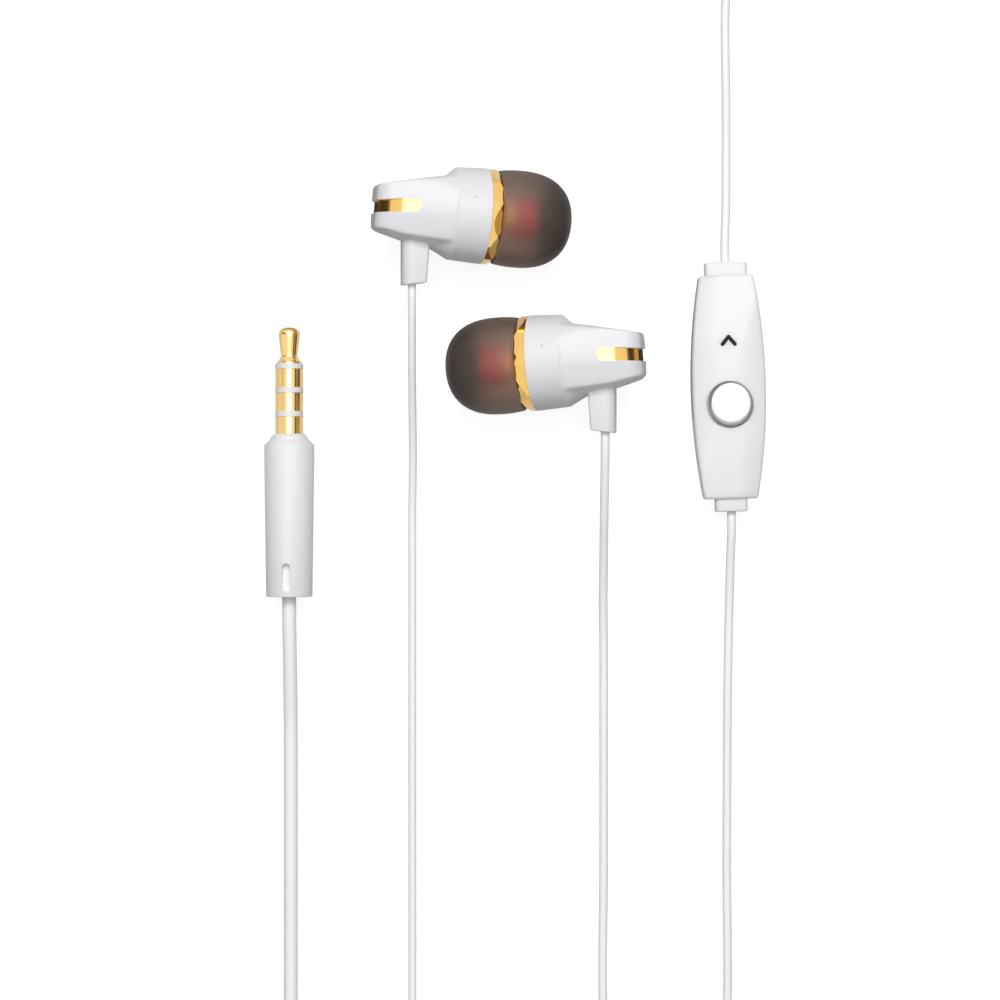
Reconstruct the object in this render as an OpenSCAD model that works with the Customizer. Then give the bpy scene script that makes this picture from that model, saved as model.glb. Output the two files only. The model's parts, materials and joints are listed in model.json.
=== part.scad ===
// In-ear wired earphones with an in-line remote, laid out flat with the spare cord coiled.
// The origin is under the middle of the pair of ear buds, on the surface they lie on.

/* [Layout] */
// How far each bud's tail is lifted, leaning on its stiff cord
tilt = 12; // [8:0.5:14]
// Turn of each bud's axis away from square to its cord
yaw = 4; // [2:0.5:6]
// Distance between the two ear cords
cord_gap = 23.9; // [23.6:0.1:24.4]
// How much further up the left bud lies than the right one
bud_step = 18.24; // [18:0.02:20]

/* [Ear bud housing] */
// Radius of the drum at its front rim
drum_r = 5.93; // [5.8:0.01:6.2]
// Radius of the drum at its back wall
drum_back_r = 5.68; // [5.5:0.02:5.8]
// Length of the drum
drum_len = 5; // [4.6:0.1:5.2]
// Length from the front rim to the end of the tail
housing_len = 14.1; // [13.6:0.1:14.6]
// Half width of the tail's end on the side away from the cord
tail_top = 2.84; // [2.7:0.02:3]
// Half width of the tail's end on the cord side
tail_bottom = 2.9; // [2.8:0.02:3.1]
// Half thickness of the tail's end
tail_half = 3.1; // [2.9:0.05:3.4]
// Radius of the tail's rounded end, seen from the cord
tail_round = 1.7; // [1.4:0.1:2]
// Slope of the two bevels that form the keel
keel_bevel = 16.5; // [14:0.5:20]
// Wall of the drum round the driver
drum_wall = 1.05; // [0.9:0.05:1.2]
// Radius of the pinhole vent
vent_r = 0.2; // [0.15:0.01:0.3]
// Width of the slot in the tail at its round end
slot_w = 1.68; // [1.5:0.02:1.8]
// Width of the slot where it leaves the tail
slot_mouth = 1.4; // [1.3:0.02:1.5]
// Distance from the front rim to the slot's round end
slot_start = 8.5; // [8.2:0.1:9]
// How deep the gold bar lies below the tail's surface
bar_depth = 0.55; // [0.4:0.05:0.8]
// Radius of the gold bar's rounded end, seen from the cord
bar_round = 2.5; // [2:0.1:2.8]

/* [Stem] */
// Width of the stem along the bud
stem_w = 3.45; // [3.2:0.05:3.6]
// Depth of the stem from front to back
stem_d = 3.3; // [3.1:0.05:3.6]
// Radius of the stem's long edges
stem_round = 0.95; // [0.7:0.05:1.2]
// Distance from the bud's axis to the stem's end
stem_drop = 9.1; // [8.6:0.1:9.6]
// Distance from the front rim to the stem's axis
stem_back = 8.99; // [8.9:0.01:9.05]
// Slant of the stem's end
stem_slant = 7; // [4:0.5:9]

/* [Trim ring and nozzle] */
// Length of the trim ring
ring_len = 1.5; // [1.3:0.05:1.7]
// Length of the bevel round the trim ring's front
ring_bevel = 0.5; // [0.3:0.05:0.7]
// Corner radius of the ring's front edge
ring_front_r = 5.57; // [5.5:0.01:5.65]
// Number of cut facets round the ring
ring_facets = 10; // [8:1:12]
// Slope of the cut facets
facet_slope = 28; // [24:1:32]
// Sideways lean of the cut facets
facet_lean = 3; // [0:1:6]
// Outer radius of the nozzle tube
nozzle_r = 1.95; // [1.85:0.01:2.02]
// Radius of the nozzle's retaining lip
nozzle_lip_r = 2.15; // [2.05:0.01:2.2]
// Inner radius of the nozzle tube
nozzle_bore_r = 1.35; // [1.2:0.05:1.5]
// Distance from the front rim to the nozzle's end
nozzle_end = 6.3; // [6:0.05:6.6]

/* [Ear tip] */
// Largest radius of the ear tip
tip_r = 6.03; // [5.9:0.01:6.2]
// Radius of the ear tip at its open rim
rim_r = 5.78; // [5.7:0.01:5.85]
// Distance from the front rim of the drum to the ear tip's open rim
rim_at = 1.75; // [1.65:0.05:2]
// Distance from the front rim of the drum to the widest place
wide_at = 4.2; // [4:0.1:4.6]
// Distance from the front rim of the drum to the ear tip's nose
nose_at = 11.05; // [10.6:0.05:11.3]
// Wall of the ear tip's skirt
skirt_wall = 0.5; // [0.4:0.05:0.7]
// Thickness of the ear tip at its nose
nose_wall = 1.7; // [1.4:0.1:2]
// Outer radius of the red core
core_r = 2.75; // [2.65:0.05:2.9]
// Distance from the front rim of the drum to the core's back end
core_at = 3.3; // [3.2:0.1:3.6]
// Radius of the sound opening in the nose
sound_r = 1.6; // [1.4:0.05:1.8]
// Running clearance of the core on the nozzle's lip
tip_fit = 0.05; // [0.02:0.01:0.08]

/* [Remote] */
// Length of the remote's body
remote_len = 28; // [26:0.5:30]
// Largest width of the remote
remote_w = 9.2; // [9:0.1:9.6]
// Width of the remote at its ends
remote_end_w = 6.7; // [6.5:0.1:7]
// Height of the remote at its middle
remote_h = 5.8; // [5.6:0.1:6.4]
// Height of the remote at its ends
remote_end_h = 4.6; // [4.5:0.1:4.9]
// Height of the seam between the two shells
seam_h = 2.4; // [2.2:0.1:2.6]
// Wall of the two shells
remote_wall = 0.8; // [0.7:0.05:0.9]
// Radius of the button's cap
button_r = 2.75; // [2.6:0.05:2.9]
// Clearance round the button
button_gap = 0.15; // [0.1:0.01:0.2]
// How far the button stands proud
button_proud = 0.7; // [0.5:0.05:0.9]
// Travel of the button
button_travel = 0.3; // [0.2:0.05:0.35]
// Distance of the button from the remote's middle, towards its lower end
button_down = 2.2; // [1.8:0.1:2.6]
// Distance of the microphone slot from the remote's middle, towards its upper end
mic_up = 5.9; // [5.5:0.1:6.3]
// Width of the upper collar
collar_up_w = 5.3; // [5:0.1:5.6]
// Width of the lower collar
collar_down_w = 4; // [3.8:0.1:4.4]
// How far the collars stand out of the remote
collar_out = 1.6; // [1.4:0.1:1.8]
// Thickness of the collars
collar_t = 3; // [2.8:0.1:3.2]

/* [Plug] */
// Radius of the plug's contacts
plug_r = 1.75; // [1.7:0.01:1.8]
// Length of the tip contact
plug_tip_len = 4.55; // [4.4:0.05:4.7]
// Length of each insulator
insulator_len = 0.66; // [0.6:0.02:0.8]
// Length of the ring contacts
contact_len = 2.33; // [2.2:0.01:2.5]
// Length of the sleeve contact
sleeve_len = 2.15; // [2:0.05:2.4]
// Length of the shoulder between the sleeve and the boot
shoulder_len = 0.7; // [0.6:0.05:0.8]
// Radius of the shoulder
shoulder_r = 2.35; // [2.2:0.05:2.6]
// Radius of the boot at the contact end
boot_r = 3.15; // [3:0.05:3.3]
// Radius of the boot at the cord end
boot_end_r = 2.9; // [2.7:0.05:3]
// Length of the boot
boot_len = 19.7; // [18:0.1:21]
// Width of the relief slots in the boot
relief_w = 1.05; // [0.9:0.05:1.2]
// Length of the relief slots in the boot
relief_len = 3.45; // [3:0.05:3.8]

/* [Cords] */
// Diameter of the left ear cord
ear_cord_d = 1; // [0.9:0.05:1]
// Diameter of the cords on the remote
remote_cord_d = 1.1; // [1:0.05:1.1]
// Diameter of the trunk cord
trunk_d = 1.75; // [1.6:0.05:1.75]
// Turns of the left ear cord's coil
ear_turns = 9.25; // [5.25:1:9.25]
// Mean radius of the left ear cord's coil
ear_coil_r = 5.6; // [5.6:0.1:5.7]
// Turns of the trunk cord's coil
trunk_turns = 10.5; // [6.5:1:10.5]
// Mean radius of the trunk cord's coil
trunk_coil_r = 10.5; // [10.5:0.1:10.6]
// Length of the splitter
splitter_len = 12; // [11:0.5:13]
// Radius of the splitter
splitter_r = 2.3; // [2.2:0.05:2.5]

/* [Hidden] */
$fn = 64;

big = 40;
cord_fit = 0.15;
cord_seat = 2;
left = -1;
right = 1;

// Colours
housing_white = [0.95, 0.95, 0.96];
soft_white = [0.9, 0.9, 0.91];
cord_white = [0.93, 0.94, 0.96];
gold = [0.85, 0.62, 0.25];
smoke = [0.3, 0.26, 0.25];
core_red = [0.6, 0.12, 0.14];
board_green = [0.1, 0.35, 0.2];
steel = [0.75, 0.76, 0.78];
dark = [0.12, 0.12, 0.13];

// ---------------------------------------------------------------- helpers

// Turns a profile of [radius, length] points into a solid along +X.
module revolve_x(profile) {
    rotate([0, 90, 0])
        rotate_extrude()
            polygon(profile);
}

module tube_x(from, to, outer, inner) {
    revolve_x([[inner, from], [outer, from], [outer, to], [inner, to]]);
}

module disc_x(from, to, r) {
    translate([from, 0, 0])
        rotate([0, 90, 0])
            cylinder(h = to - from, r = r);
}

// Outline of a rectangle with round corners, from squares and circles.
module round_rect(w, d, r) {
    square([w - 2 * r, d], center = true);
    square([w, d - 2 * r], center = true);
    for (x = [-1, 1])
        for (y = [-1, 1])
            translate([x * (w / 2 - r), y * (d / 2 - r)])
                circle(r);
}

// The point where a line from p touches a circle, on its outer side.
function touch(p, c, r, turn) =
    let (v = p - c, a = atan2(v.y, v.x) + turn * acos(r / norm(v)))
    c + r * [cos(a), sin(a)];

// Points along an arc, for outlines whose round corners are cut from a polygon.
function arc(c, r, from, to, steps) =
    [for (i = [0:steps]) let (a = from + (to - from) * i / steps) c + r * [cos(a), sin(a)]];

function sum(v, i = 0) = i < len(v) ? v[i] + sum(v, i + 1) : 0;

// ---------------------------------------------------------------- ear bud, in its own frame
// +X runs along the bud towards the ear tip from the drum's front rim, +Y away from the cord.

cavity_r = drum_r - drum_wall;
neck = [-5.1, 4.64];
keel_back = [-housing_len, -tail_bottom];
keel_corner = [-10.2, -3.92];
keel_step = [-6.7, -4.49];
keel_angle = atan2(keel_corner.y - keel_step.y, keel_step.x - keel_corner.x);
keel_flat = 0.15;
tail_corner = 0.8;
barrel_back_r = 3.95;
barrel_front_r = 5.6;
drum_edge = 0.9;
duct_r = 0.9;
duct_y = -2.05;
vent_at = -2.2;
vent_turn = 21;
slot_slope = 5;
slot_y = 0.55;
stem_top = 1.5;
stem_neck = 0.4;
stem_off = 0.27;

// Side view of the tail, extruded from front to back.
module tail_outline() {
    c = [-housing_len + tail_corner, tail_top - tail_corner];
    polygon(concat(
        arc(c, tail_corner, 180, 100, 5),
        [
            neck, neck + [1.2, 0.1], [-3, 4], [-3, -4], [-4.2, -4.8], keel_step, keel_corner,
            keel_back + [tail_corner, -0.22], keel_back + [0, tail_corner]
        ]
    ));
}

// Outline of the tail seen from the cord; inset shrinks it evenly.
module tail_plan(inset = 0, corner = tail_round) {
    r = corner - inset / 2;
    c = [-housing_len + inset + r, tail_half - inset - r];
    front = [-2, drum_r + 0.35 - inset];
    top = touch(front, c, r, 1);
    turn = atan2(top.y - c.y, top.x - c.x);
    polygon(concat(
        [[front.x, -front.y], front],
        arc(c, r, turn, 180, 9),
        arc([c.x, -c.y], r, 180, 360 - turn, 9)
    ));
}

module slot_outline() {
    back = slot_start - housing_len - 1;
    translate([-slot_start, slot_y])
        rotate([0, 0, slot_slope])
            polygon(concat(
                arc([-slot_w / 2, 0], slot_w / 2, -90, 90, 12),
                [[back, slot_mouth / 2], [back, -slot_mouth / 2]]
            ));
}

module tail() {
    intersection() {
        linear_extrude(height = big, center = true)
            tail_outline();
        rotate([90, 0, 0])
            linear_extrude(height = big, center = true)
                tail_plan();
        translate([-housing_len, 0, 0])
            rotate([0, 90, 0])
                cylinder(h = housing_len - 3.5, r1 = barrel_back_r, r2 = barrel_front_r);
    }
}

// Half-spaces below the keel's two bevels.
module keel_cuts() {
    for (s = [-1, 1])
        translate([keel_corner.x, keel_corner.y, 0])
            rotate([0, 0, -keel_angle])
                rotate([-s * keel_bevel, 0, 0])
                    translate([-big / 2, -big - keel_flat, -big / 2])
                        cube([big, big, big]);
}

module drum() {
    revolve_x([
        [0, -drum_len], [drum_back_r - drum_edge, -drum_len],
        [drum_back_r - drum_edge * 0.4, -drum_len + drum_edge * 0.3],
        [drum_back_r, -drum_len + drum_edge], [drum_r, -0.6], [drum_r, 0], [0, 0]
    ]);
}

// The stem's block; its axis is the -Y axis through the origin of the moved frame.
module stem_block() {
    w = stem_w;
    d = stem_d;
    intersection() {
        translate([stem_off, 0, 0])
            rotate([90, 0, 0])
                linear_extrude(height = stem_drop + 1)
                    round_rect(w, d, stem_round);
        translate([stem_off, 0, 0])
            linear_extrude(height = big, center = true)
                polygon([
                    [-w / 2, 0], [w / 2, 0], [w / 2, -stem_drop / 3],
                    [w / 2 - stem_neck, -stem_drop - 1], [-w / 2, -stem_drop - 1]
                ]);
        translate([-big / 2, -big - stem_top, -big / 2])
            cube([big, big, big]);
    }
}

module housing() {
    color(housing_white)
        difference() {
            union() {
                drum();
                difference() {
                    tail();
                    keel_cuts();
                }
            }
            disc_x(-drum_len + drum_wall, 1, cavity_r);
            linear_extrude(height = big, center = true)
                slot_outline();
            translate([0, duct_y, 0])
                disc_x(-stem_back, -drum_len + drum_wall + 0.1, duct_r);
            translate([-stem_back, 0, 0])
                rotate([0, 0, yaw])
                    stem_block();
            rotate([-vent_turn, 0, 0])
                translate([vent_at, 0, 0])
                    cylinder(h = 8, r = vent_r);
        }
}

module accent() {
    color(gold)
        intersection() {
            linear_extrude(height = big, center = true)
                slot_outline();
            rotate([90, 0, 0])
                linear_extrude(height = big, center = true)
                    tail_plan(bar_depth, bar_round);
        }
}

module stem() {
    color(housing_white)
        translate([-stem_back, 0, 0])
            rotate([0, 0, yaw])
                difference() {
                    stem_block();
                    translate([0, -stem_drop, 0])
                        rotate([0, 0, stem_slant])
                            translate([-big / 2, -big, -big / 2])
                                cube([big, big, big]);
                    translate([0, -stem_drop + cord_seat, 0])
                        rotate([90, 0, 0])
                            cylinder(h = stem_drop, r = ear_bore_r);
                    rotate([90, 0, 0])
                        cylinder(h = stem_drop, r = wire_r);
                }
}
ear_bore_r = remote_cord_d / 2 + cord_fit;
wire_r = 0.35;

facet_turn = 360 / ring_facets;
facet_first = 10.3;
facet_flat = ring_front_r * cos(facet_turn / 2);
ring_inner_r = 4.7;

module ring() {
    color(gold)
        difference() {
            revolve_x([
                [ring_inner_r, 0], [drum_r, 0], [drum_r, ring_len - ring_bevel],
                [facet_flat + 0.05, ring_len], [ring_inner_r, ring_len]
            ]);
            for (k = [0:ring_facets - 1])
                rotate([-(facet_first + (k + 0.5) * facet_turn), 0, 0])
                    translate([ring_len, 0, facet_flat])
                        rotate([facet_lean, facet_slope, 0])
                            translate([-5, -5, 0])
                                cube([10, 10, 5]);
        }
}

flange_back = -0.4;
flange_front = 1.2;
screen_t = 0.25;
lip_len = 0.8;
screen_r = nozzle_bore_r + 0.3;

module nozzle() {
    color(gold)
        difference() {
            revolve_x([
                [nozzle_bore_r, flange_back], [ring_inner_r, flange_back],
                [ring_inner_r, flange_front - 0.2], [ring_inner_r - 0.25, flange_front],
                [nozzle_r, flange_front], [nozzle_r, nozzle_end - lip_len],
                [nozzle_lip_r, nozzle_end - lip_len + 0.2], [nozzle_lip_r, nozzle_end - 0.3],
                [nozzle_lip_r - 0.25, nozzle_end], [nozzle_bore_r, nozzle_end]
            ]);
            disc_x(nozzle_end - screen_t - 0.1, nozzle_end + 1, screen_r);
        }
}

module screen() {
    pitch = 0.62;
    color(steel)
        difference() {
            disc_x(nozzle_end - screen_t - 0.1, nozzle_end - 0.1, screen_r);
            for (i = [-2:2])
                for (j = [-2:2])
                    let (y = pitch * (i + j / 2), z = pitch * j * sin(60))
                        if (norm([y, z]) < screen_r - 0.3)
                            translate([0, y, z])
                                disc_x(nozzle_end - 1, nozzle_end + 1, 0.2);
        }
}

driver_r = cavity_r;
driver_back = -2.6;
magnet_r = 3.1;

module driver_frame() {
    color(steel)
        difference() {
            disc_x(driver_back, flange_back, driver_r);
            disc_x(flange_back - 0.5, flange_back + 1, driver_r - 0.7);
            disc_x(driver_back + 0.4, flange_back + 1, magnet_r + 0.4);
            disc_x(driver_back - 1, driver_back + 1, 0.8);
        }
}

module magnet() {
    color(dark)
        tube_x(driver_back + 0.4, flange_back - 0.85, magnet_r, 0.8);
}

module diaphragm() {
    color(smoke)
        revolve_x([
            [0, flange_back - 0.2], [1.6, flange_back - 0.3], [1.8, flange_back - 0.38],
            [3, flange_back - 0.25], [driver_r - 0.7, flange_back - 0.38],
            [driver_r - 0.7, flange_back - 0.5], [1.8, flange_back - 0.5], [0, flange_back - 0.35]
        ]);
}

module terminals() {
    color(board_green)
        difference() {
            disc_x(driver_back - 0.6, driver_back, driver_r - 0.8);
            for (s = [-1, 1])
                translate([0, s * 1.6, 1.2])
                    disc_x(driver_back - 1, driver_back + 1, 0.4);
        }
}

// The ear tip's outside, as radius at a distance along the bud.
dome_power = 2.4;
function dome_r(x, r = tip_r, nose = nose_at) =
    x < wide_at
        ? r - (tip_r - rim_r) * pow((wide_at - x) / (wide_at - rim_at), 2)
        : r * pow(1 - pow((x - wide_at) / (nose - wide_at), dome_power), 1 / dome_power);
function dome_x(r) =
    wide_at + (nose_at - wide_at) * pow(1 - pow(r / tip_r, dome_power), 1 / dome_power);

nose_steps = 16;
skirt_steps = 4;
skirt_points = [
    for (i = [0:skirt_steps])
        let (x = rim_at + 0.2 + (wide_at - rim_at - 0.2) * i / skirt_steps)
        [dome_r(x), x]
];
nose_points = [
    for (i = [1:nose_steps])
        let (r = tip_r * cos(acos(core_r / tip_r) * i / nose_steps))
        [r, dome_x(r)]
];
inner_nose = nose_at - nose_wall;
inner_points = [
    for (i = [0:10])
        let (
            x = inner_nose - 0.25 - (inner_nose - 0.25 - rim_at - 0.2) * i / 10,
            r = dome_r(x, tip_r - skirt_wall, inner_nose)
        )
        [max(r, core_r + 0.1), x]
];

module tip_dome() {
    rim = rim_at + 0.2;
    color(smoke)
        revolve_x(concat(
            [[dome_r(rim) - 0.15, rim_at]],
            skirt_points,
            nose_points,
            [[core_r, inner_nose - 0.4]],
            [[core_r + 0.1, inner_nose - 0.4]],
            inner_points,
            [[dome_r(rim) - skirt_wall + 0.12, rim_at]]
        ));
}

core_bore_r = nozzle_lip_r + tip_fit;
core_step = nozzle_end + 0.4;

module tip_core() {
    color(core_red)
        revolve_x([
            [core_bore_r, core_at], [core_r - 0.15, core_at], [core_r, core_at + 0.15],
            [core_r, dome_x(core_r)], [(core_r + sound_r) / 2, dome_x((core_r + sound_r) / 2)],
            [sound_r + 0.25, dome_x(sound_r + 0.25)], [sound_r, dome_x(sound_r) - 0.25],
            [sound_r, core_step], [core_bore_r, core_step - 0.3]
        ]);
}

// ---------------------------------------------------------------- placing the buds

dome_all = concat(skirt_points, nose_points);
bud_z = max([for (p = dome_all) p[1] * sin(tilt) + p[0] * cos(tilt)]);
bud_x = cord_gap / 2 - stem_back * cos(tilt) * cos(yaw);
bud_top = drum_r * cos(yaw) + 0.04;
stem_axis_y = stem_back * cos(tilt) * sin(yaw);
stem_end = stem_axis_y - stem_drop - tan(stem_slant) * stem_w / 2;
bud_mid = (bud_top + stem_end) / 2;
bud_drop = 0.3;
stem_z = bud_z + stem_back * sin(tilt);

function bud_y(side) = -side * bud_step / 2 - bud_mid - bud_drop;

module place_bud(side) {
    translate([side * bud_x, bud_y(side), bud_z])
        mirror([side > 0 ? 1 : 0, 0, 0])
            rotate([0, 0, -yaw])
                rotate([0, tilt, 0])
                    children();
}

// ---------------------------------------------------------------- remote, in its own frame
// +Y runs along it towards the upper collar, and its back lies on z = 0.

remote_at = [27.55, -10.9, 0];
remote_turn = 1.4;
side_sagitta = (remote_w - remote_end_w) / 2;
side_r = (pow(remote_len / 2, 2) + pow(side_sagitta, 2)) / (2 * side_sagitta);
top_sagitta = remote_h - remote_end_h;
top_r = (pow(remote_len / 2, 2) + pow(top_sagitta, 2)) / (2 * top_sagitta);
crown_r = 9;
collar_z = 1.1;
collar_in = 1.6;
corner_cut = 22;
corner_turn = 24;
corner_x = 1.1;
button_z = remote_h - 0.1;
button_flange_r = button_r + 0.45;
flange_top = remote_h - remote_wall - pow(button_flange_r, 2) / (2 * crown_r) - 0.25;
flange_t = 0.45;
stub_h = 0.2;
board_top = seam_h - 0.3;
board_t = 0.6;
mic_leg = 1.25;
mic_line = 0.4;

module remote_side(side, inset) {
    translate([side * (side_r - remote_w / 2 + inset), 0])
        circle(side_r, $fn = 256);
}

module remote_outline(inset = 0) {
    intersection() {
        remote_side(left, inset);
        remote_side(right, inset);
        square([remote_w + 2, remote_len - 2 * inset], center = true);
    }
}

// Everything below the facet at one corner of the remote.
module corner_facet(turn, inset) {
    rotate([0, 0, turn])
        translate([corner_x, -remote_len / 2, remote_end_h - inset])
            rotate([0, 0, -corner_turn])
                rotate([0, corner_cut, 0])
                    translate([-big, -big, -big])
                        cube([2 * big, 2 * big, big]);
}

// The remote's whole outside; inset shrinks it evenly.
module remote_form(inset = 0) {
    intersection() {
        translate([0, 0, inset])
            linear_extrude(height = remote_h)
                remote_outline(inset);
        rotate([0, 90, 0])
            translate([top_r - remote_h + inset, 0, -big / 2])
                cylinder(h = big, r = top_r, $fn = 256);
        rotate([90, 0, 0])
            translate([0, remote_h - inset - crown_r, -big / 2])
                cylinder(h = big, r = crown_r);
        corner_facet(0, inset);
        corner_facet(180, inset);
    }
}

module mic_slot() {
    for (s = [-1, 1])
        rotate([0, 0, s * 40]) {
            translate([-mic_line / 2, -mic_leg, 0])
                cube([mic_line, mic_leg, big]);
            translate([0, -mic_leg, 0])
                cylinder(h = big, r = mic_line / 2);
        }
    cylinder(h = big, r = mic_line / 2);
}

module collar_form(w) {
    rotate([90, 0, 0])
        linear_extrude(height = collar_out + collar_in, center = true)
            round_rect(w, collar_t, 0.6);
}

module place_collar(upper) {
    s = upper ? 1 : -1;
    translate([0, s * (remote_len / 2 + (collar_out - collar_in) / 2), collar_z + collar_t / 2])
        children();
}

module remote_hollow() {
    difference() {
        remote_form(remote_wall);
        for (s = [-1, 1])
            translate([-big / 2, s * (remote_len / 2 - 1.7) - (s > 0 ? 0 : big), -1])
                cube([big, big, big]);
    }
    place_collar(true)
        collar_form(collar_up_w);
    place_collar(false)
        collar_form(collar_down_w);
}

module remote_front() {
    color(housing_white)
        difference() {
            remote_form();
            translate([-big / 2, -big / 2, seam_h - big])
                cube([big, big, big]);
            remote_hollow();
            translate([0, -button_down, 0])
                cylinder(h = big, r = button_r + button_gap);
            translate([0, mic_up, 0])
                mic_slot();
        }
}

module remote_back() {
    color(housing_white)
        difference() {
            remote_form();
            translate([-big / 2, -big / 2, seam_h])
                cube([big, big, big]);
            remote_hollow();
        }
}

module remote_button() {
    top = button_z + button_proud;
    color(steel)
        translate([0, -button_down, 0]) {
            rotate_extrude()
                polygon([
                    [0, flange_top - flange_t], [button_flange_r, flange_top - flange_t],
                    [button_flange_r, flange_top], [button_r, flange_top],
                    [button_r, top - 0.35], [button_r - 0.12, top - 0.12], [button_r - 0.4, top - 0.02],
                    [0, top]
                ]);
            translate([0, 0, flange_top - flange_t - stub_h])
                cylinder(h = stub_h + 0.1, r = 0.8);
        }
}

module remote_board() {
    color(board_green)
        translate([0, 0, board_top - board_t])
            linear_extrude(height = board_t)
                square([remote_end_w - 2 * remote_wall - 0.4, remote_len - 6], center = true);
}

switch_top = flange_top - flange_t - stub_h - button_travel - 0.1;
module remote_switch() {
    color(dark)
        translate([0, -button_down, board_top]) {
            translate([-1.5, -1.5, 0])
                cube([3, 3, switch_top - board_top - 0.4]);
            cylinder(h = switch_top - board_top, r = 0.7);
        }
}

module remote_mic() {
    color(steel)
        translate([0, mic_up - 0.4, board_top])
            cylinder(h = 1.5, r = 1.9);
}

module remote_collar(w, upper) {
    s = upper ? 1 : -1;
    reach = remote_len / 2 + collar_out;
    color(soft_white)
        difference() {
            place_collar(upper)
                collar_form(w);
            translate([0, s * (reach - cord_seat), collar_z + collar_t / 2])
                rotate([-s * 90, 0, 0])
                    cylinder(h = big, r = remote_cord_d / 2 + cord_fit);
            translate([0, 0, collar_z + collar_t / 2])
                rotate([-s * 90, 0, 0])
                    cylinder(h = big, r = wire_r);
        }
}

module place_remote() {
    translate(remote_at)
        rotate([0, 0, remote_turn])
            children();
}

// ---------------------------------------------------------------- plug, along +Y from its boot's end

plug_x = -27.45;
plug_boot_y = -37.15;
rod_r = 0.5;
liner_r = 1.1;
boot_top = boot_len;
shoulder_top = boot_top + shoulder_len;
sleeve_top = shoulder_top + sleeve_len;
insulator_3_top = sleeve_top + insulator_len;
ring_2_top = insulator_3_top + contact_len;
insulator_2_top = ring_2_top + insulator_len;
ring_1_top = insulator_2_top + contact_len;
insulator_1_top = ring_1_top + insulator_len;
plug_top = insulator_1_top + plug_tip_len;
trunk_bore_r = trunk_d / 2 + cord_fit;
boot_bore = 6;

module revolve_y(profile) {
    rotate([-90, 0, 0])
        rotate_extrude()
            polygon(profile);
}

module place_plug() {
    translate([plug_x, plug_boot_y, boot_r])
        children();
}

module plug_tip() {
    t = plug_top;
    b = insulator_1_top;
    color(gold)
        revolve_y([
            [0, shoulder_top], [rod_r, shoulder_top], [rod_r, b], [plug_r - 0.19, b], [plug_r - 0.19, b + 0.2],
            [1.2, b + 0.62], [1.05, b + 0.9], [1.34, t - 0.8], [1.3, t - 0.5], [1, t - 0.2],
            [0.5, t], [0, t]
        ]);
}

// An insulator: a white disc with a liner that the next contact slides over.
module plug_insulator(bottom, top, liner_to) {
    color(soft_white)
        revolve_y([
            [rod_r, liner_to], [liner_r, liner_to], [liner_r, bottom],
            [plug_r, bottom], [plug_r, top], [rod_r, top]
        ]);
}

module plug_contact(bottom, top) {
    color(gold)
        revolve_y([
            [liner_r, bottom], [plug_r, bottom], [plug_r, top], [liner_r, top]
        ]);
}

module plug_shoulder() {
    color(soft_white)
        revolve_y([
            [0, boot_top - 3], [shoulder_r - 0.4, boot_top - 3], [shoulder_r - 0.4, boot_top],
            [shoulder_r, boot_top], [shoulder_r, shoulder_top - 0.15],
            [shoulder_r - 0.15, shoulder_top], [0, shoulder_top]
        ]);
}

module plug_boot() {
    slot_y0 = 0.8;
    color(soft_white)
        difference() {
            revolve_y([
                [trunk_bore_r, 0], [boot_end_r - 0.15, 0], [boot_end_r, 0.15], [boot_r, boot_top - 0.8],
                [boot_r - 0.65, boot_top], [shoulder_r - 0.4, boot_top],
                [shoulder_r - 0.4, boot_top - 3], [wire_r, boot_top - 3],
                [wire_r, boot_bore], [trunk_bore_r, boot_bore]
            ]);
            for (s = [0, 180])
                rotate([0, s, 0])
                    translate([0, slot_y0, 0]) {
                        translate([-relief_w / 2, relief_w / 2, 0])
                            cube([relief_w, relief_len - relief_w, big]);
                        for (y = [relief_w / 2, relief_len - relief_w / 2])
                            translate([0, y, 0])
                                cylinder(h = big, r = relief_w / 2);
                    }
        }
}

// ---------------------------------------------------------------- splitter, its trunk end at the origin, along +X

splitter_at = [12, -110.4, splitter_r];
branch_gap = 1.5;

module splitter() {
    grooves = 3;
    color(soft_white)
        translate(splitter_at)
            difference() {
                revolve_x([
                    [0, 0], [splitter_r - 0.6, 0], [splitter_r - 0.45, 0.15], [splitter_r - 0.1, 4.6],
                    [splitter_r, 5.5], [splitter_r, splitter_len - 0.5], [splitter_r - 0.5, splitter_len],
                    [0, splitter_len]
                ]);
                for (k = [1:grooves])
                    tube_x(k * 0.9, k * 0.9 + 0.35, splitter_r + 1, splitter_r - 0.75);
                disc_x(-1, cord_seat, trunk_bore_r);
                for (s = [-1, 1])
                    translate([0, s * branch_gap / 2, 0])
                        disc_x(splitter_len - cord_seat, big, remote_cord_d / 2 + 0.08);
            }
}

// ---------------------------------------------------------------- cords

ear_seat_y = stem_axis_y - stem_drop + cord_seat;
left_seat = [-cord_gap / 2, bud_y(left) + ear_seat_y, stem_z];
right_seat = [cord_gap / 2, bud_y(right) + ear_seat_y, stem_z];
function remote_point(s) =
    let (d = s * (remote_len / 2 + collar_out - cord_seat))
    remote_at + [-d * sin(remote_turn), d * cos(remote_turn), collar_z + collar_t / 2];
remote_dir = [-sin(remote_turn), cos(remote_turn), 0];
plug_seat = [plug_x, plug_boot_y + boot_bore, boot_r];
trunk_entry = splitter_at + [cord_seat, 0, 0];
branch_entry = splitter_at + [splitter_len - cord_seat, branch_gap / 2, 0];
link_entry = splitter_at + [splitter_len - cord_seat, -branch_gap / 2, 0];

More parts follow.
